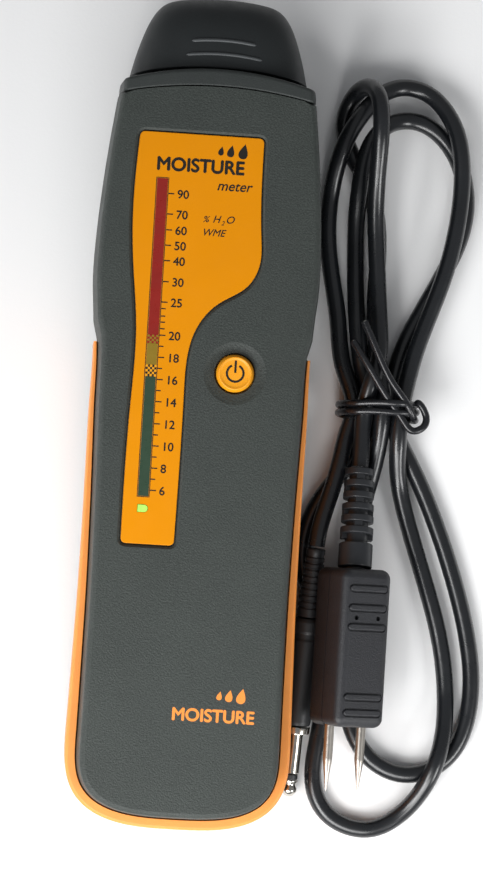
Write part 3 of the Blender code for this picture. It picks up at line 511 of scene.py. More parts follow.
def pill(length, width, steps=8):
    """A stadium outline round the origin, longer along X."""
    radius = width / 2
    reach = length / 2 - radius
    points = []
    for side, start in ((1, -math.pi / 2), (-1, math.pi / 2)):
        for i in range(steps + 1):
            angle = start + math.pi * i / steps
            points.append((side * reach + radius * math.cos(angle), radius * math.sin(angle)))
    return points


def circle(radius, steps=48):
    return [(radius * math.cos(2 * math.pi * i / steps), radius * math.sin(2 * math.pi * i / steps))
            for i in range(steps)]


def moved(outline, x, y, scale=1.0, turn=0.0):
    c, s = math.cos(turn), math.sin(turn)
    return [(x + scale * (c * a - s * b), y + scale * (s * a + c * b)) for a, b in outline]


def droplet(steps=36):
    """A drop outline one unit high, its point up."""
    points = []
    for i in range(steps):
        angle = 2 * math.pi * i / steps
        points.append((-0.42 * math.sin(angle) * math.sin(angle / 2) ** 1.4, 0.5 * math.cos(angle)))
    return points


def smooth_curve(points, spacing):
    """Points at about the given spacing along the natural cubic spline through the given ones."""
    knots = np.array(points, dtype=float)
    steps = np.linalg.norm(np.diff(knots, axis=0), axis=1)
    along = np.concatenate([[0.0], np.cumsum(steps)])
    count = len(knots)
    matrix = np.eye(count)
    target = np.zeros_like(knots)
    for i in range(1, count - 1):
        before, after = steps[i - 1], steps[i]
        matrix[i, i - 1:i + 2] = (before, 2 * (before + after), after)
        target[i] = 6 * ((knots[i + 1] - knots[i]) / after - (knots[i] - knots[i - 1]) / before)
    bend = np.linalg.solve(matrix, target)
    places = np.linspace(0.0, along[-1], max(2, int(round(along[-1] / spacing)) + 1))
    result = []
    for distance in places:
        i = min(int(np.searchsorted(along, distance, side='right')) - 1, count - 2)
        length = steps[i]
        a = (along[i + 1] - distance) / length
        b = 1.0 - a
        curve = (a ** 3 - a) * bend[i] + (b ** 3 - b) * bend[i + 1]
        result.append(tuple(a * knots[i] + b * knots[i + 1] + curve * length ** 2 / 6))
    return result


def tube(name, points, radius, material, resolution=6):
    curve = bpy.data.curves.new(name, 'CURVE')
    curve.dimensions = '3D'
    curve.bevel_depth = radius * MM
    curve.bevel_resolution = resolution
    curve.use_fill_caps = True
    spline = curve.splines.new('POLY')
    spline.points.add(len(points) - 1)
    for point, spot in zip(spline.points, points):
        point.co = (*metres(spot), 1.0)
        point.radius = 1.0
    spline.use_smooth = True
    curve.materials.append(material)
    return placed(name, curve)


def lettering(name, lines, height, material):
    """Printed text as thin raised faces. Each line is (text, size, x, y, slant, how much bolder)."""
    items = []
    copies = []
    for text, size, x, y, slant, bold in lines:
        shifts = [(-bold, 0), (bold, 0), (0, -bold), (0, bold)] if bold else [(0, 0)]
        copies += [(text, size, x + dx, y + dy, slant, k) for k, (dx, dy) in enumerate(shifts)]
    for i, (text, size, x, y, slant, layer) in enumerate(copies):
        font = bpy.data.curves.new(f"{name}_{i}", 'FONT')
        font.body = text
        font.size = size * MM
        font.shear = slant
        font.extrude = LIFT / 2 * MM
        font.materials.append(material)
        item = placed(f"{name}_{i}", font)
        item.location = metres((x, y, height + LIFT / 2 + layer * LIFT * 0.1))
        items.append(bake(item, item.matrix_basis))
    return join(name, items)


def finish_piece(item, body, slot, *nodes):
    """Rides the piece on its body and hides the CAD nodes that it stands for. The slot argument is not used.
    """
    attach(item, body)
    if nodes:
        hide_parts(*nodes)
    return item


# ---------------------------------------------------------------- camera, floor and light

def aim(item, spot, target, up=(0, 1, 0)):
    back = (Vector(spot) - Vector(target)).normalized()
    side = Vector(up).cross(back).normalized()
    turn = Matrix((side, back.cross(side), back)).transposed().to_4x4()
    item.matrix_world = Matrix.Translation(metres(spot)) @ turn


def make_camera():
    data = bpy.data.cameras.new("camera")
    camera = placed("camera", data)
    lean_x, lean_y = [math.tan(math.radians(a)) for a in CAMERA_LEAN]
    offset = Vector((lean_x, lean_y, 1.0)).normalized() * CAMERA_DISTANCE
    turn = math.radians(CAMERA_TURN)
    aim(camera, Vector(CAMERA_TARGET) + offset, CAMERA_TARGET, (-math.sin(turn), math.cos(turn), 0))
    data.sensor_fit = 'VERTICAL'
    data.angle = 2 * math.atan(FRAME_HEIGHT / 2 / CAMERA_DISTANCE)
    data.clip_start = 0.01
    data.clip_end = 10
    bpy.context.scene.camera = camera


def area_light(name, spot, target, width, height, power):
    data = bpy.data.lights.new(name, 'AREA')
    data.shape = 'RECTANGLE'
    data.size = width * MM
    data.size_y = height * MM
    data.energy = power
    aim(placed(name, data), spot, target)


def make_studio():
    edit = bmesh.new()
    bmesh.ops.create_grid(edit, x_segments=1, y_segments=1, size=3.0)
    paper = surface("floor_paper", (236, 236, 236), 0.8, mottle=(0.01, 60), grain=(0.02, 0.8))
    floor = object_from_bmesh("floor", edit, paper)
    floor.location.z = -FLOOR_GAP * MM
    area_light("left_softbox", (-200, -250, 360), (0, -60, 10), 200, 240, 1.45)
    area_light("side_softbox", (-620, 0, 160), (0, 0, 20), 160, 560, 1.5)
    area_light("right_softbox", (420, -330, 330), (20, -20, 10), 180, 260, 1.6)
    area_light("low_softbox", (-40, -330, 260), (0, -90, 10), 280, 160, 1.2)
    world = bpy.data.worlds.new("studio")
    world.use_nodes = True
    background = world.node_tree.nodes["Background"]
    background.inputs["Color"].default_value = (0.9, 0.92, 0.95, 1.0)
    background.inputs["Strength"].default_value = 0.3
    bpy.context.scene.world = world
    bpy.context.scene.view_settings.view_transform = 'Standard'


# ---------------------------------------------------------------- casing

def smoothstep(value):
    value = min(max(value, 0.0), 1.0)
    return value * value * (3 - 2 * value)


def half_width(y):
    """Half the casing's width at y, smooth between the driving stations."""
    stations = HALF_WIDTHS[::-1]
    ys = [s[0] for s in stations]
    widths = [s[1] for s in stations]
    y = min(max(y, ys[0]), ys[-1])
    i = min(max(int(np.searchsorted(ys, y, side='right')) - 1, 0), len(ys) - 2)
    slopes = np.gradient(widths, ys)
    length = ys[i + 1] - ys[i]
    t = (y - ys[i]) / length
    return ((2 * t ** 3 - 3 * t ** 2 + 1) * widths[i] + (t ** 3 - 2 * t ** 2 + t) * length * slopes[i]
            + (3 * t ** 2 - 2 * t ** 3) * widths[i + 1] + (t ** 3 - t ** 2) * length * slopes[i + 1])


def side_points(steps_down, steps_corner):
    """The outline's right side, from its top end down and round to the middle of the bottom."""
    points = []
    for i in range(steps_down):
        y = CASE_TOP_Y - END_ARC_SAG + (CORNER_START_Y - CASE_TOP_Y + END_ARC_SAG) * i / steps_down
        points.append((half_width(y), y))
    across = half_width(CORNER_START_Y)
    depth = CORNER_START_Y - BOTTOM_Y
    for i in range(steps_corner + 1):
        angle = math.pi / 2 * i / steps_corner
        x = across * max(math.cos(angle), 0.0) ** (2 / CORNER_POWER)
        y = CORNER_START_Y - depth * math.sin(angle) ** (2 / CORNER_POWER)
        points.append((x, y))
    return points


def band_growth(x, y):
    tip = BAND_TIP_RIGHT_Y if x > 0 else BAND_TIP_LEFT_Y
    return tip, min(max((tip - y) / (tip - BAND_FULL_Y), 0.0), 1.0) ** 0.8


def band_thickness(x, y):
    return BAND_TIP_THICKNESS + (BAND_THICKNESS - BAND_TIP_THICKNESS) * band_growth(x, y)[1]


def casing_step(x, y):
    """How far the casing's wall steps in to seat the band."""
    return (band_thickness(x, y) + GAP) * smoothstep((band_growth(x, y)[0] + 4.0 - y) / 5.0)


def u_outline(steps_down=72, steps_corner=26):
    """The U from the right top end round the bottom to the left top end, with inward normals."""
    right = side_points(steps_down, steps_corner)
    left = [(-x, y) for x, y in reversed(right[:-1])]
    points = [Vector(p) for p in right + left]
    normals = []
    for i in range(len(points)):
        along = (points[min(i + 1, len(points) - 1)] - points[max(i - 1, 0)]).normalized()
        normals.append(Vector((along.y, -along.x)))
    return points, normals


def end_height(x, top, sag):
    return top - sag * (x / TOP_HALF_WIDTH) ** 2


def case_ring(z, inset, drop=0.0):
    """The casing's outline at z, moved in by the inset, with its arched top end lowered by the drop."""
    top = CASE_TOP_Y - drop
    points, normals = u_outline()
    ring = []
    for point, normal in zip(points, normals):
        spot = point + normal * (inset + casing_step(point.x, point.y))
        ring.append((spot.x, min(spot.y, end_height(spot.x, top, END_ARC_SAG)), z))
    half = ring[0][0]
    ring += [(x, end_height(x, top, END_ARC_SAG), z) for x in np.linspace(-half, half, 26)[1:-1]]
    return ring


def seam_levels(side):
    """The small groove at the parting line, for the front half (1) or the rear half (-1)."""
    near, far = SEAM_FROM_PARTING
    return [(PARTING_Z + side * near, SEAM_INSET), (PARTING_Z + side * far, 0.0)]


def front_levels(steps=10):
    """Height and inset of the front half: a slight draft and a round edge."""
    levels = seam_levels(1) + [(22.5, 0.05), (26.5, 0.4)]
    for i in range(steps + 1):
        angle = math.pi / 2 * i / steps
        height = CASE_DEPTH - FACE_EDGE_RADIUS * (1 - math.sin(angle))
        levels.append((height, FACE_EDGE_INSET + FACE_EDGE_RADIUS * (1 - math.cos(angle))))
    return levels


def rear_levels(steps=12):
    """The same for the rear half, whose edge is larger and elliptical."""
    levels = seam_levels(-1) + [(REAR_EDGE_Z, REAR_EDGE_INSET)]
    for i in range(1, steps + 1):
        angle = math.pi / 2 * i / steps
        levels.append((REAR_EDGE_Z * (1 - math.sin(angle)),
                       REAR_EDGE_INSET + REAR_EDGE_REACH * (1 - math.cos(angle))))
    return levels


def make_half(name, levels, inner):
    """A casing half: its outer skin, its mouth and its inner skin, as one closed body."""
    rings = [case_ring(z, inset, WALL) for z, inset in reversed(inner)]
    rings += [case_ring(z, inset) for z, inset in levels]
    return loft(name, rings, CASE)


def nose_hole():
    return box("nose_hole", (-PIN_BLOCK[0] - GAP, 60, PARTING_Z - PIN_BLOCK[1] - GAP),
               (PIN_BLOCK[0] + GAP, 80, PARTING_Z + PIN_BLOCK[1] + GAP))


def round_cutter(name, x, y, levels, steps):
    rings = [[(x + px, y + py, z) for px, py in circle(radius, steps)] for z, radius in levels]
    return loft(name, rings)


def jack_hole(name):
    return turned(name, [(0, -4), (3.3, -4), (3.3, 8), (0, 8)], (20, JACK_SOCKET_Y, PARTING_Z), (1, 0, 0))


def label_outline(grow=0.0):
    """The label's outline, anticlockwise: a smooth curve down each side and round corners."""
    left = [p[:2] for p in smooth_curve([(x, y, 0) for x, y in LABEL_LEFT], 3.0)]
    right = [p[:2] for p in smooth_curve([(x, y, 0) for x, y in LABEL_RIGHT], 1.2)]
    corners = [left[0], left[-1], right[0], right[-1]]
    sides = {1: left[1:-1], 3: right[1:-1]}
    outline = []
    for i, corner in enumerate(corners):
        here = Vector(corner)
        before = (Vector(corners[i - 1]) - here) if i % 2 == 0 else (Vector(sides[i][-1]) - here)
        after = (Vector(corners[(i + 1) % 4]) - here) if i % 2 else (Vector(sides[i + 1][0]) - here)
        start = here + before.normalized() * LABEL_CORNER
        end = here + after.normalized() * LABEL_CORNER
        if i in sides:
            outline += [p for p in sides[i] if (Vector(p) - here).length > LABEL_CORNER
                        and (Vector(p) - Vector(corners[i - 1])).length > LABEL_CORNER]
        for k in range(7):
            t = k / 6
            outline.append(tuple(start * (1 - t) ** 2 + here * 2 * t * (1 - t) + end * t ** 2))
    outline = [p for i, p in enumerate(outline) if (Vector(p) - Vector(outline[i - 1])).length > 0.05]
    return outward(outline, grow) if grow else outline


def make_front_shell():
    inner = [(PARTING_Z + 0.15, WALL), (26.0, WALL + 0.4), (28.4, WALL + 1.2), (29.0, WALL + 3.0)]
    shell = make_half("front_casing", front_levels(), inner)
    lip = GAP + 0.55
    recess = slab("recess", label_outline(), [(30.1, GAP), (30.55, GAP), (31.05, lip), (CLEAR_Z, lip)])
    slot = box("slot", (SCALE_X[0] - GAP, SCALE_Y[0] - GAP, 26),
               (SCALE_X[1] + GAP, SCALE_Y[1] + GAP, CLEAR_Z))
    lens = box("lens", (LED_X - 1.4, LED_Y - 1.1, 26), (LED_X + 1.4, LED_Y + 1.1, CLEAR_Z))
    ball = (DISH_RADIUS ** 2 + DISH_DEPTH ** 2) / (2 * DISH_DEPTH)
    arc = [(CASE_DEPTH - DISH_DEPTH + ball * (1 - math.cos(a)), max(ball * math.sin(a), 0.01))
           for a in np.linspace(0.0, math.asin(DISH_RADIUS * 1.15 / ball), 14)]
    dish = round_cutter("dish", BUTTON_X, BUTTON_Y, arc + [(CLEAR_Z, arc[-1][1])], 72)
    bore = BUTTON_RADIUS + GAP
    well = [(26, bore), (30.2, bore), (30.9, bore + 0.35), (CLEAR_Z, bore + 0.35)]
    hole = round_cutter("hole", BUTTON_X, BUTTON_Y, well, 72)
    smooth(carve(shell, [nose_hole(), jack_hole("jack_front"), recess, slot, lens, dish, hole]))
    finish_piece(shell, "meter", "case_plastic", "front_shell")


def door_ring(z, inset, half, top):
    edge = sorted((x, y) for x, y, _ in case_ring(z, inset) if y < CORNER_START_Y)
    spots = np.linspace(-half, half, 25)
    ends = np.interp(spots, [x for x, y in edge], [y for x, y in edge])
    return [(half, top, z), (-half, top, z)] + [(x, y, z) for x, y in zip(spots, ends)]


def make_rear_shell():
    inner = [(PARTING_Z - 0.15, WALL), (8.0, WALL + 0.4), (4.5, WALL + 1.5), (2.0, WALL + 3.5)]
    shell = make_half("rear_casing", rear_levels(), inner)
    cutters = []
    for i, (x, y) in enumerate(SCREW_PLACES):
        cutters.append(round_cutter(f"seat_{i}", x, y, [(-2, 3.1), (0.1, 2.9), (0.5, 2.6), (2.4, 2.6)], 32))
    half = DOOR_HALF_WIDTH + GAP
    door = box("door", (-half, BOTTOM_Y - 2, -1), (half, DOOR_TOP_Y + GAP, DOOR_THICKNESS + GAP))
    smooth(carve(shell, cutters + [door, nose_hole(), jack_hole("jack_rear")]))
    finish_piece(shell, "meter", "case_plastic", "rear_shell")


def make_battery_door():
    """The door, its outer face chamfered, with five grip grooves and an arrow sunk in it."""
    rings = []
    for z, inset in DOOR_LEVELS:
        chamfer = DOOR_CHAMFER if z == 0 else 0
        rings.append(door_ring(z, inset, DOOR_HALF_WIDTH - chamfer, DOOR_TOP_Y - chamfer))
    door = loft("battery_cover", rings, CASE)
    cutters = []
    for i in range(5):
        cutters.append(slab(f"grip_{i}", moved(pill(13 - i * 1.2, 1.0), 0, -38.0 - i * 2.2),
                            [(-1, 0.25), (0.0, 0.1), (0.5, -0.1)]))
    arrow = [(-3.2, -51.0), (0.0, -54.6), (3.2, -51.0), (3.2, -50.0), (-3.2, -50.0)]
    cutters.append(slab("arrow", arrow, [(-1, 0.1), (0.4, -0.05)]))
    smooth(carve(door, cutters))
    finish_piece(door, "battery_door", "case_plastic", "battery_door")


def make_bumper_band():
    """The band swept round the U, thin at its tips: its upper outer edge round, its lower one hollowed."""
    points, normals = u_outline(110, 26)
    low, high = BAND_Z
    arc = np.linspace(0.0, math.pi / 2, 6)
    rings = []
    for point, normal in zip(points, normals):
        tip, growth = band_growth(point.x, point.y)
        if point.y > tip:
            continue
        thick = band_thickness(point.x, point.y)
        curl = min(0.42 * thick, 0.8)
        section = [(thick + GAP, high - BAND_INNER_STEP), (thick + GAP, low + BAND_INNER_STEP), (thick, low)]
        for angle in arc:
            section.append((curl * math.cos(angle), low + BAND_EDGE_HEIGHT * (1 - math.sin(angle))))
        for angle in arc:
            section.append((curl * (1 - math.cos(angle)), high - BAND_EDGE_HEIGHT * (1 - math.sin(angle))))
        section.append((thick + 0.05, high))
        rings.append([(point.x + normal.x * n, point.y + normal.y * n, z) for n, z in section])
    band = loft("bumper", rings, BAND)
    finish_piece(smooth(band, 50), "meter", "bumper", "bumper_band")


def collar_ring(y_middle, sag, inset):
    """The casing's section with its arched end, its flat faces drawn across in short steps."""
    rear = [(TOP_HALF_WIDTH - d, z) for z, d in reversed(rear_levels()[2:])]
    front = [(TOP_HALF_WIDTH - d, z) for z, d in front_levels()[2:]]
    side = rear + [(TOP_HALF_WIDTH, PARTING_Z)] + front
    flat_front = [(x, CASE_DEPTH) for x in np.linspace(side[-1][0], -side[-1][0], 14)[1:-1]]
    flat_rear = [(x, 0.0) for x in np.linspace(-side[0][0], side[0][0], 14)[1:-1]]
    ring = side + flat_front + [(-x, z) for x, z in reversed(side)] + flat_rear
    shrink = 1 - inset / TOP_HALF_WIDTH
    result = []
    for x, z in ring:
        depth = PARTING_Z + (z - PARTING_Z) * (1 - inset / PARTING_Z)
        result.append((x * shrink, y_middle - sag * (x / TOP_HALF_WIDTH) ** 2, depth))
    return result


def make_nose_collar():
    start = CASE_TOP_Y + GAP
    top = start + COLLAR_HEIGHT
    rings = [collar_ring(start, END_ARC_SAG, 0.25), collar_ring(start + 0.25, END_ARC_SAG, 0.0),
             collar_ring(top - 1.0, COLLAR_SAG, 0.0)]
    for i in range(1, 6):
        angle = math.pi / 2 * i / 5
        rings.append(collar_ring(top - 1.0 + math.sin(angle), COLLAR_SAG, 1 - math.cos(angle)))
    rings.append(collar_ring(top, COLLAR_SAG, 6.0))
    rings.insert(0, collar_ring(start, END_ARC_SAG, 6.0))
    collar = loft("collar", rings, COLLAR, closed_loop=True)
    finish_piece(smooth(collar), "meter", "case_plastic", "nose_collar")


def make_pin_block():
    block = box("pin_carrier", (-PIN_BLOCK[0], 60.5, PARTING_Z - PIN_BLOCK[1]),
                (PIN_BLOCK[0], 76.0, PARTING_Z + PIN_BLOCK[1]), BLACK, 0.6)
    bores = []
    bore = PIN_RADIUS + GAP
    for side in (-1, 1):
        profile = [(0, -15), (bore, -15), (bore, 7.6), (PIN_RADIUS + 1.1, 8.4), (0, 8.4)]
        bores.append(turned(f"bore_{side}", profile, (side * PIN_SPACING / 2, 68, PARTING_Z), (0, 1, 0)))
    smooth(carve(block, bores))
    finish_piece(block, "meter", "black_plastic", "pin_block")
    for side, name in ((-1, "left"), (1, "right")):
        low, high = [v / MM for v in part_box("measuring_pin_" + name)]
        length = high.y - low.y
        profile = [(0, 0), (0.9, 0), (PIN_RADIUS, 0.3), (PIN_RADIUS, length - 7.0), (0.93, length - 6.0),
                   (0.3, length - 1.0), (0.12, length - 0.25), (0.0, length)]
        pin = turned("pin_" + name, profile, ((low.x + high.x) / 2, low.y, PARTING_Z), (0, 1, 0), STEEL)
        finish_piece(smooth(pin, 40), "meter", "steel", "measuring_pin_" + name)


def cap_size(height):
    """Half the cap's width and depth at a height above its base."""
    knots = smooth_curve(CAP_SECTIONS, 0.25)
    row = min(knots, key=lambda k: abs(k[0] - height))
    return row[1], row[2]


def cap_spot(height, half_x, half_z, angle):
    power = 2 / CAP_POWER
    fade = 1.0 - height / CAP_SECTIONS[-1][0]
    across = math.copysign(abs(math.cos(angle)) ** power, math.cos(angle))
    up = math.copysign(abs(math.sin(angle)) ** power, math.sin(angle))
    y = CAP_BASE_Y + height - CAP_SAG * across ** 2 * (0.3 + 0.7 * fade)
    return (half_x * across, y, PARTING_Z + half_z * up)


def cap_ring(height, half_x, half_z, steps=112):
    return [cap_spot(height, half_x, half_z, 2 * math.pi * (i + 0.5) / steps) for i in range(steps)]


def drawn_in(ring, part):
    """The ring drawn in to part of its size, keeping the end's curve."""
    top = max(y for x, y, z in ring)
    return [(x * part, top + (y - top) * part * part, PARTING_Z + (z - PARTING_Z) * part) for x, y, z in ring]


def make_cap():
    profile = smooth_curve(CAP_SECTIONS, 0.8)
    profile[0] = (0.25, profile[0][1], profile[0][2])
    outer = [cap_ring(0.0, profile[0][1] - 0.2, profile[0][2] - 0.2)] + [cap_ring(*row) for row in profile]
    outer += [drawn_in(outer[-1], part) for part in (0.8, 0.6, 0.4, 0.2, 0.04)]
    inner = [cap_ring(max(h - CAP_WALL, 0.0), x - CAP_WALL, z - CAP_WALL) for h, x, z in profile]
    inner += [drawn_in(inner[-1], part) for part in (0.6, 0.05)]
    cap = loft("pin_cap", list(reversed(inner)) + outer, CAP)
    finish_piece(smooth(cap, 50), "cap", "cap_plastic", "cap")
    for number, place in enumerate(CAP_BARS):
        # the bars take the lighter copy of the cap plastic, a painted highlight
        bar = smooth(loft(f"cap_bar_{number}", cap_bar_rings(*place), CAP_BAR_HIGHLIGHT), 60)
        finish_piece(bar, "cap", "cap_plastic")


def cap_bar_rings(y, low_x, high_x, steps=32, sides=10):
    """A raised grip bar's rings across the cap's front face, thin at both ends."""
    half_x, half_z = cap_size(y - CAP_BASE_Y)
    rings = []
    for i in range(steps + 1):
        x = low_x + (high_x - low_x) * i / steps
        across = x / half_x
        swell = max(min(1.0, (1 - abs(2 * i / steps - 1)) * 12) ** 0.5, 0.15)
        level = PARTING_Z + half_z * (1 - abs(across) ** CAP_POWER) ** (1 / CAP_POWER) - 0.05
        middle = y - 0.0077 * x * x - CAP_SAG * across ** 2 * 0.4
        ring = []
        for k in range(sides):
            angle = 2 * math.pi * k / sides
            ring.append((x, middle + CAP_BAR_HALF_WIDTH * swell * math.cos(angle),
                         level + CAP_BAR_RISE * swell * math.sin(angle)))
        rings.append(ring)
    return rings


# ---------------------------------------------------------------- face

def make_label():
    levels = [(LABEL_TOP - LABEL_THICKNESS, -0.05), (LABEL_TOP - 0.22, 0.0), (LABEL_TOP - 0.06, -0.06),
              (LABEL_TOP, -0.24)]
    label = slab("label_plate", label_outline(), levels, LABEL)
    slot = box("slot", (SCALE_X[0], SCALE_Y[0], 28), (SCALE_X[1], SCALE_Y[1], CLEAR_Z))
    lens = slab("lens", moved(led_outline(), LED_X, LED_Y), [(28, 0.06), (CLEAR_Z, 0.06)])
    smooth(carve(label, [slot, lens]), 20)
    finish_piece(label, "meter", "label", "face_label")


def led_outline():
    """The lit window: a D with its round side to the right."""
    points = [(-1.1, 0.8), (-1.1, -0.8), (0.25, -0.8)]
    arc = np.linspace(-math.pi / 2, math.pi / 2, 15)[1:-1]
    return points + [(0.25 + 0.85 * math.cos(a), 0.8 * math.sin(a)) for a in arc] + [(0.25, 0.8)]


def scale_marks():
    """Every graduation as (number or None, y)."""
    marks = [(value, y) for value, y in UPPER_MARKS]
    marks += [(None, y) for y in MINOR_MARKS]
    for value in range(20, 5, -1):
        shown = value if value % 2 == 0 else None
        marks.append((shown, SCALE_20_Y - SCALE_STEP * (20 - value)))
    return marks


def thin(name, low_x, low_y, high_x, high_y, base, material):
    return box(name, (low_x, low_y, base), (high_x, high_y, base + LIFT), material)


def drops(name, spots, y, top, material):
    """A row of printed drops, each spot an X and a size."""
    items = []
    for number, (x, size) in enumerate(spots):
        outline = moved(droplet(), x, y + size * 0.12, size, -0.18)
        items.append(slab(f"{name}_{number}", outline, [(top, 0.0), (top + LIFT, 0.0)], material))
    return items


def label_rules(top):
    """Painted shade: a thin dark line just outside the scale's window, standing in for the shadow in the gap
    round it.
    """
    (left, right), (bottom, head) = SCALE_X, SCALE_Y
    thickness = GAP_SHADE_OUTER - GAP_SHADE_INNER
    items = []
    for name, x in (("left", left - GAP_SHADE_OUTER), ("right", right + GAP_SHADE_INNER)):
        items.append(thin("gap_shade_" + name, x, bottom - 0.2, x + thickness, head + 0.2, top, INK))
    for name, y in (("low", bottom - GAP_SHADE_OUTER), ("high", head + GAP_SHADE_INNER)):
        items.append(thin("gap_shade_" + name, left, y, right, y + thickness, top, INK))
    return items


def make_print():
    """The label's black print: graduations, numbers, units, three drops and a generic heading; and a painted
    dark line round the scale's window for the shade in its gap.
    """
    pieces = []
    lines = []
    start = SCALE_X[1] + 0.25
    for i, (value, y) in enumerate(scale_marks()):
        reach = 1.25 if value else 0.95
        pieces.append(thin(f"mark_{i}", start, y - 0.13, start + reach, y + 0.13, LABEL_TOP, INK))
        if value:
            lines.append((str(value), 2.55, -7.75, y - 0.9, 0.0, 0.05))
    lines += [("%", 1.9, -2.0, 40.4, 0.3, 0.02), ("H", 2.2, 0.1, 40.4, 0.3, 0.02),
              ("2", 1.3, 2.0, 39.9, 0.3, 0.01), ("O", 2.2, 2.9, 40.4, 0.3, 0.02),
              ("WME", 2.1, -2.0, 37.5, 0.3, 0.02), ("MOISTURE", 4.0, -12.6, 51.0, 0.0, 0.14),
              ("meter", 3.0, 0.6, 47.4, 0.25, 0.04)]
    pieces.append(lettering("label_text", lines, LABEL_TOP, INK))
    pieces += drops("drop", ((1.1, 2.0), (3.2, 2.6), (5.9, 3.3)), 55.6, LABEL_TOP, INK)
    # painted shade: the dark line round the scale's window stands in for the shadow in its gap
    pieces += label_rules(LABEL_TOP)
    finish_piece(join("label_print_and_gap_shade", pieces), "meter", "label")


def make_case_print():
    """The lower shell's orange print: a generic word under three drops."""
    pieces = [lettering("case_text", [("MOISTURE", 3.75, -2.2, -66.0, 0.0, 0.12)], CASE_DEPTH, CASE_INK)]
    pieces += drops("case_drop", ((7.8, 1.9), (9.9, 2.6), (12.5, 3.3)), -60.6, CASE_DEPTH, CASE_INK)
    finish_piece(join("case_print", pieces), "meter", "label")


def make_scale():
    """The scale's window in coloured bands: red, a chequered turn to amber, and green."""
    low_x, high_x = SCALE_X
    top = LABEL_TOP + 0.03
    base = top - 0.35
    olive_y, check_y, green_y = 13.8, 9.2, 6.7
    window = box("scale_body", (low_x, SCALE_Y[0], SCALE_BASE_Z), (high_x, SCALE_Y[1], base), BLACK)
    bands = [(SCALE_Y[1], SCALE_20_Y, RED), (olive_y, check_y, OLIVE), (green_y, SCALE_Y[0], GREEN)]
    pieces = [window]
    for i, (high, low, material) in enumerate(bands):
        pieces.append(box(f"band_{i}", (low_x, low, base), (high_x, high, top), material, 0.05, 1))
    columns = 5
    step_x = (high_x - low_x) / columns
    for name, high, low, pair in (("warm", SCALE_20_Y, olive_y, (RED, OLIVE)),
                                  ("check", check_y, green_y, (AMBER, INK))):
        rows = int(round((high - low) / step_x))
        step_y = (high - low) / rows
        for row in range(rows):
            for column in range(columns):
                material = pair[(row + column) % 2]
                corner = (low_x + column * step_x, low + row * step_y)
                pieces.append(box(f"{name}_{row}_{column}", (*corner, base),
                                  (corner[0] + step_x, corner[1] + step_y, top), material))
    finish_piece(join("scale_strip", pieces), "meter", "scale_window", "scale_window")
    levels = [(SCALE_BASE_Z, 0.0), (top - 0.15, 0.0), (top - 0.04, -0.05), (top, -0.18)]
    lens = slab("led_window", moved(led_outline(), LED_X, LED_Y), levels, LED)
    finish_piece(smooth(lens), "meter", "status_window", "status_window")


def make_button():
    """The power button: a raised rim round a shallow dished top, and a flange that keeps it in."""
    r = BUTTON_RADIUS
    top = BUTTON_TOP_Z
    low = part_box("power_button")[0].z / MM
    flange = low + 1.4
    profile = [(0, low), (r + 0.9, low), (r + 0.9, flange), (r, flange)]
    profile += [(r - inset, top - drop) for inset, drop in (
        (0, 1.1), (0.06, 0.95), (0.42, 0.14), (0.5, 0.03), (0.62, 0), (0.75, 0.02), (0.95, 0.14), (1.2, 0.2),
        (2.0, 0.2), (r, 0.2))]
    button = turned("power_key", profile, (BUTTON_X, BUTTON_Y, 0), (0, 0, 1), BUTTON, 72)
    finish_piece(smooth(button, 50), "power_button", "button", "power_button")
    make_power_symbol(top - 0.2)


def make_power_symbol(base):
    """An open ring with an upright bar, printed at the base height."""
    radius, stroke, gap = 1.78, 0.24, 0.45
    arc = np.linspace(math.pi / 2 + gap, math.pi / 2 + 2 * math.pi - gap, 49)
    outline = [((radius + stroke) * math.cos(a), (radius + stroke) * math.sin(a)) for a in arc]
    outline += [((radius - stroke) * math.cos(a), (radius - stroke) * math.sin(a)) for a in arc[::-1]]
    rings = [[(BUTTON_X + x, BUTTON_Y + y, z) for x, y in outline] for z in (base, base + LIFT)]
    bar = thin("symbol_bar", BUTTON_X - stroke, BUTTON_Y + 0.1, BUTTON_X + stroke, BUTTON_Y + 2.75, base, INK)
    symbol = join("power_symbol", [loft("symbol_ring", rings, INK), bar])
    finish_piece(symbol, "power_button", "button")


def make_screws():
    for i, (x, y) in enumerate(SCREW_PLACES):
        low, high = [v.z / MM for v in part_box(f"case_screw_{i + 1}")]
        profile = [(0, low), (1.5, low + 0.02), (2.1, low + 0.2), (2.3, low + 0.55), (2.3, low + 1.6),
                   (1.3, low + 1.6), (1.3, high - 0.8), (0, high)]
        screw = turned(f"screw_{i + 1}", profile, (x, y, 0), (0, 0, 1), STEEL, 32)
        cross = []
        for k in range(2):
            arm = box(f"arm_{k}", (-1.5, -0.3, low - 1), (1.5, 0.3, low + 0.9))
            arm.matrix_world = Matrix.Translation(metres((x, y, 0))) @ Matrix.Rotation(
                math.radians(25 + 40 * i + 90 * k), 4, 'Z')
            cross.append(arm)
        smooth(carve(screw, cross), 40)
        finish_piece(screw, "meter", "steel", f"case_screw_{i + 1}")


def dress_inside():
    """Finishes for the CAD nodes inside the casing, which keep their own shape."""
    looks = {BLACK: ("light_bar", "microcontroller", "tactile_switch", "jack_socket", "battery_snap"),
             BRASS: ("pin_contact_left", "pin_contact_right"), BOARD: ("circuit_board",),
             BATTERY: ("battery",), RED_WIRE: ("battery_lead_red",), CORD: ("battery_lead_black",)}
    for material, names in looks.items():
        for name in names:
            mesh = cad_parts[name].data
            mesh.materials.clear()
            mesh.materials.append(material)


# ---------------------------------------------------------------- probe lead

def handle_place():
    return Matrix.Translation(metres(HANDLE_CENTRE)) @ Matrix.Rotation(math.radians(HANDLE_ROLL), 4, 'Y')


def in_handle(item):
    item.data.transform(handle_place())
    return item


def short_bore(name, radius, spot):
    """A cutter 3 mm to each side of the spot, along Y."""
    return turned(name, [(0, -3), (radius, -3), (radius, 3), (0, 3)], spot, (0, 1, 0))


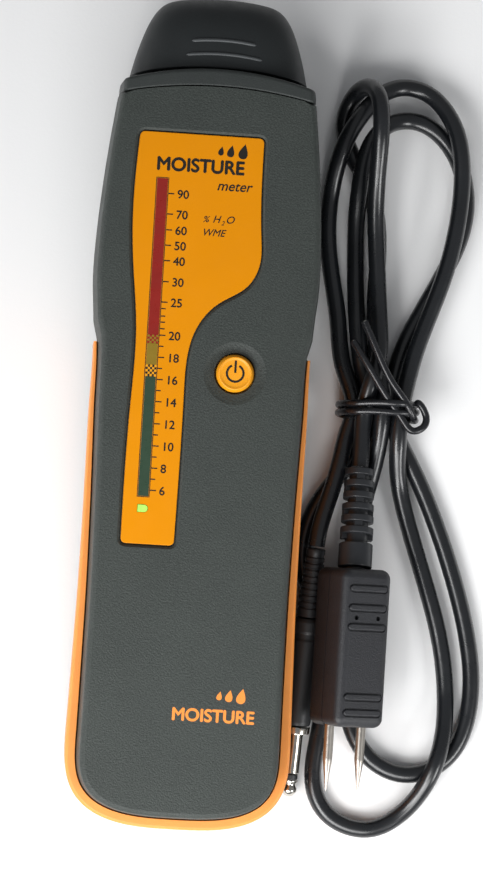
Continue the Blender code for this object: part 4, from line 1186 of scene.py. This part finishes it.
def make_handle():
    """The probe's two moulded halves with grip bars. Only the front has slots round them and gate holes."""
    half_x, half_y, half_z = [s / 2 for s in HANDLE_SIZE]
    gate_x, gate_y = GATE_PLACE
    for front, name in ((True, "front"), (False, "rear")):
        block = box("probe_" + name, (-half_x, -half_y, -half_z), (half_x, half_y, half_z), PROBE,
                    HANDLE_EDGE_RADIUS, 8)
        low, high = (-20, HANDLE_SEAM) if front else (-HANDLE_SEAM, 20)
        cutters = [box("split", (-20, -30, low), (20, 30, high)), short_bore("neck", 3.3, (0, half_y, 0))]
        for side in (-1, 1):
            cutters.append(short_bore(f"notch_{side}", 1.35, (side * PROBE_PIN_OFFSET, -half_y, 0)))
            if front:
                gate = moved(circle(1.0, 20), side * gate_x, gate_y, GATE_RADIUS)
                cutters.append(slab(f"gate_{side}", gate, [(half_z - 0.8, 0), (9, 0)]))
        carve(block, cutters)
        bars = []
        for y in GRIP_BAR_YS:
            if front:
                levels = [(half_z - 0.3, 0), (half_z + 0.1, 0.1), (9, 0.1)]
                carve(block, [slab(f"bar_slot_{y}", moved(pill(9.9, 1.8, 10), 0, y), levels)])
            bar = soft_slab(f"bar_{y}", moved(pill(9.4, 1.3, 10), 0, y), half_z - 0.35, half_z + 0.22,
                            PROBE, 0.28)
            if not front:
                bar.data.transform(Matrix.Rotation(math.pi, 4, 'Y'))
            bars.append(bar)
        smooth(in_handle(block), 38)
        finish_piece(block, "probe_lead", "black_plastic", f"probe_{name}_half")
        bars = join(f"grip_bars_{name}", bars)
        smooth(in_handle(bars), 50)
        finish_piece(bars, "probe_lead", "black_plastic")


def make_probe_pins():
    for name in ("left", "right"):
        low, high = [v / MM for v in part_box("probe_pin_" + name)]
        length = high.y - low.y
        middle = (low + high) / 2
        profile = [(0, 0), (1.05, 0.2), (1.05, length - 7.2), (0.98, length - 6.6), (0.2, length - 0.5),
                   (0.1, length - 0.15), (0, length)]
        pin = turned("needle_" + name, profile, (middle.x, high.y, middle.z), (0, -1, 0), STEEL)
        finish_piece(smooth(pin, 40), "probe_lead", "steel", "probe_pin_" + name)


def make_probe_relief():
    """The ribbed strain relief: a core, a solid foot, and rings joined by short bridges."""
    top = Vector(HANDLE_CENTRE) + Vector((0, HANDLE_SIZE[1] / 2, 0))
    axis = Vector(RELIEF_END) - top
    length = axis.length
    foot = 5.4
    profile = rounded([(0, -3.4), (3.5, -3.4), (3.5, -2.5), (2.4, -2.5), (2.4, 0.05), (3.75, 0.12),
                       (3.72, foot), (2.55, foot), (2.2, length), (0, length)], 0.3)
    pieces = [turned("relief_core", profile, top, axis, RELIEF, 40)]
    rings = 6
    width = 1.5
    pitch = (length - foot - 1.1) / rings
    place = Matrix.Translation(metres(top)) @ axis.to_track_quat('Z', 'Y').to_matrix().to_4x4()
    for i in range(rings):
        start = foot + pitch * (i + 1) - 0.55
        radius = 3.68 - 0.45 * i / (rings - 1)
        ring = rounded([(2.0, start), (radius, start), (radius, start + width), (2.0, start + width)], 0.25)
        ring = [(0, start + 0.01)] + ring + [(0, start + width - 0.01)]
        pieces.append(turned(f"relief_ring_{i}", ring, top, axis, RELIEF, 40))
        for k in range(2):
            spin = math.pi * k + (math.pi / 2 if i % 2 else 0.15) - math.pi / 2
            bridge = box(f"bridge_{i}_{k}", (-0.9, 1.6, start - pitch + width - 0.05),
                         (0.9, radius - 0.15, start + 0.05), RELIEF, 0.12)
            bridge.data.transform(place @ Matrix.Rotation(spin, 4, 'Z'))
            pieces.append(bridge)
    relief = join("ribbed_relief", pieces)
    finish_piece(smooth(relief, 35), "probe_lead", "black_vinyl", "probe_strain_relief")
    return relief


def make_plug():
    """The jack plug: moulded body, ribbed relief, plated collar and barrel, insulating ring and tip."""
    collar = Vector(PLUG_COLLAR)
    back = Vector(PLUG_RELIEF_END) - collar
    length = back.length
    r = PLUG_BODY_RADIUS
    end = PLUG_BODY_LENGTH
    groove = r - 0.25
    body = rounded([(0, 1.8), (r - 0.15, 1.8), (r, 2.6), (r, end - 5.0), (groove, end - 4.6),
                    (groove, end - 3.4), (r, end - 3.0), (r, end - 0.8), (r - 0.6, end), (0, end)], 0.25)
    relief = [(0, end + GAP), (2.6, end + GAP)]
    steps = 9
    for i in range(steps):
        start = end + GAP + 1.0 + i * (length - end - 2.6) / steps
        wide = 2.6 - 0.45 * i / steps
        neck = wide - 0.25
        relief += [(wide, start), (wide, start + 0.75), (neck, start + 0.85), (neck, start + 1.2)]
    relief += [(2.15, length - 1.0), (2.15, length - 0.15), (2.0, length), (0, length)]
    sleeve = [(0, -9.0), (1.6, -9.0), (1.75, -8.85), (1.75, -0.3), (1.95, 0), (r - 0.1, 0), (r, 0.15),
              (r, 1.35), (r - 0.1, 1.5), (0, 1.5)]
    ring = [(0, -10.3), (1.6, -10.3), (1.62, -9.8), (1.6, -9.3), (0, -9.3)]
    tip = [(0, -14.3), (0.5, -14.25), (0.9, -14.05), (1.35, -13.6), (1.65, -13.1), (1.74, -12.7),
           (1.66, -12.3), (1.4, -11.8), (1.34, -11.55), (1.45, -11.2), (1.68, -10.8), (1.7, -10.6),
           (0, -10.6)]
    rows = [("plug_grip", body, BLACK, "black_plastic", "plug_body"),
            ("plug_relief", relief, RELIEF, "black_vinyl", "plug_strain_relief"),
            ("jack_barrel", sleeve, NICKEL, "steel", "plug_sleeve"),
            ("jack_ring", ring, BLACK, "black_plastic", "plug_insulator"),
            ("jack_tip", tip, NICKEL, "steel", "plug_tip")]
    made = []
    for name, profile, material, slot, node in rows:
        piece = smooth(turned(name, profile, collar, back, material), 40)
        made.append(finish_piece(piece, "probe_lead", slot, node))
    return made


def bundle_loop(turns, first_y, pitch):
    """The tie's path round the bundle: the four outer strands' hull, pushed out and rounded."""
    strands = len(TIE_BUNDLE)
    centre_x = sum(x for x, z in TIE_BUNDLE) / strands
    centre_z = sum(z for x, z in TIE_BUNDLE) / strands
    steps = 20
    points = []
    for i in range(int(turns * steps) + 1):
        angle = 2 * math.pi * i / steps
        direction = Vector((math.cos(angle), -math.sin(angle)))
        near = max(TIE_BUNDLE, key=lambda c: Vector((c[0] - centre_x, c[1] - centre_z)).dot(direction))
        x = near[0] + direction.x * TIE_OFFSET
        z = near[1] + direction.y * TIE_OFFSET
        points.append((x, first_y + pitch * i / steps, z))
    return above_floor(points, TIE_RADIUS + TIE_LIFT)


def above_floor(points, lowest):
    return [(x, y, max(z, lowest)) for x, y, z in points]


def make_tie():
    """The wire tie, with the bare wire showing at its cut ends."""
    turns = bundle_loop(2.0, 1.8, 1.8)
    route = TIE_TAIL_A + [TIE_ENTRY] + turns[1:-1:2] + TIE_CURL + TIE_TAIL_B[::-1]
    points = above_floor(smooth_curve(route, 0.35), TIE_RADIUS + TIE_LIFT)
    tie = tube("twist_tie", points, TIE_RADIUS, TIE, 4)
    finish_piece(tie, "probe_lead", "black_vinyl", "cord_tie")
    pieces = [tie]
    for name, tail in (("a", TIE_TAIL_A), ("b", TIE_TAIL_B)):
        out = Vector(tail[0]) - Vector(tail[1])
        profile = [(0, -0.3), (0.36, -0.3), (0.36, 0.16), (0.2, 0.24), (0, 0.26)]
        wire = turned("wire_end_" + name, profile, tail[0], out, NICKEL, 16)
        pieces.append(finish_piece(smooth(wire), "probe_lead", "steel"))
    return pieces


def make_cord():
    points = above_floor(smooth_curve(CORD_ROUTE, 1.1), CORD_RADIUS + FLOOR_GAP)
    cord = tube("lead_cord", points, CORD_RADIUS, CORD, 7)
    return finish_piece(cord, "probe_lead", "black_vinyl", "probe_cord")


def make_lead():
    cord = make_cord()
    ends = make_plug() + make_tie() + [make_probe_relief()]
    make_handle()
    make_probe_pins()


def main():
    make_camera()
    make_studio()
    make_lead()
    make_front_shell()
    make_rear_shell()
    make_battery_door()
    make_bumper_band()
    make_nose_collar()
    make_pin_block()
    make_cap()
    make_label()
    make_print()
    make_case_print()
    make_scale()
    make_button()
    make_screws()
    dress_inside()


main()
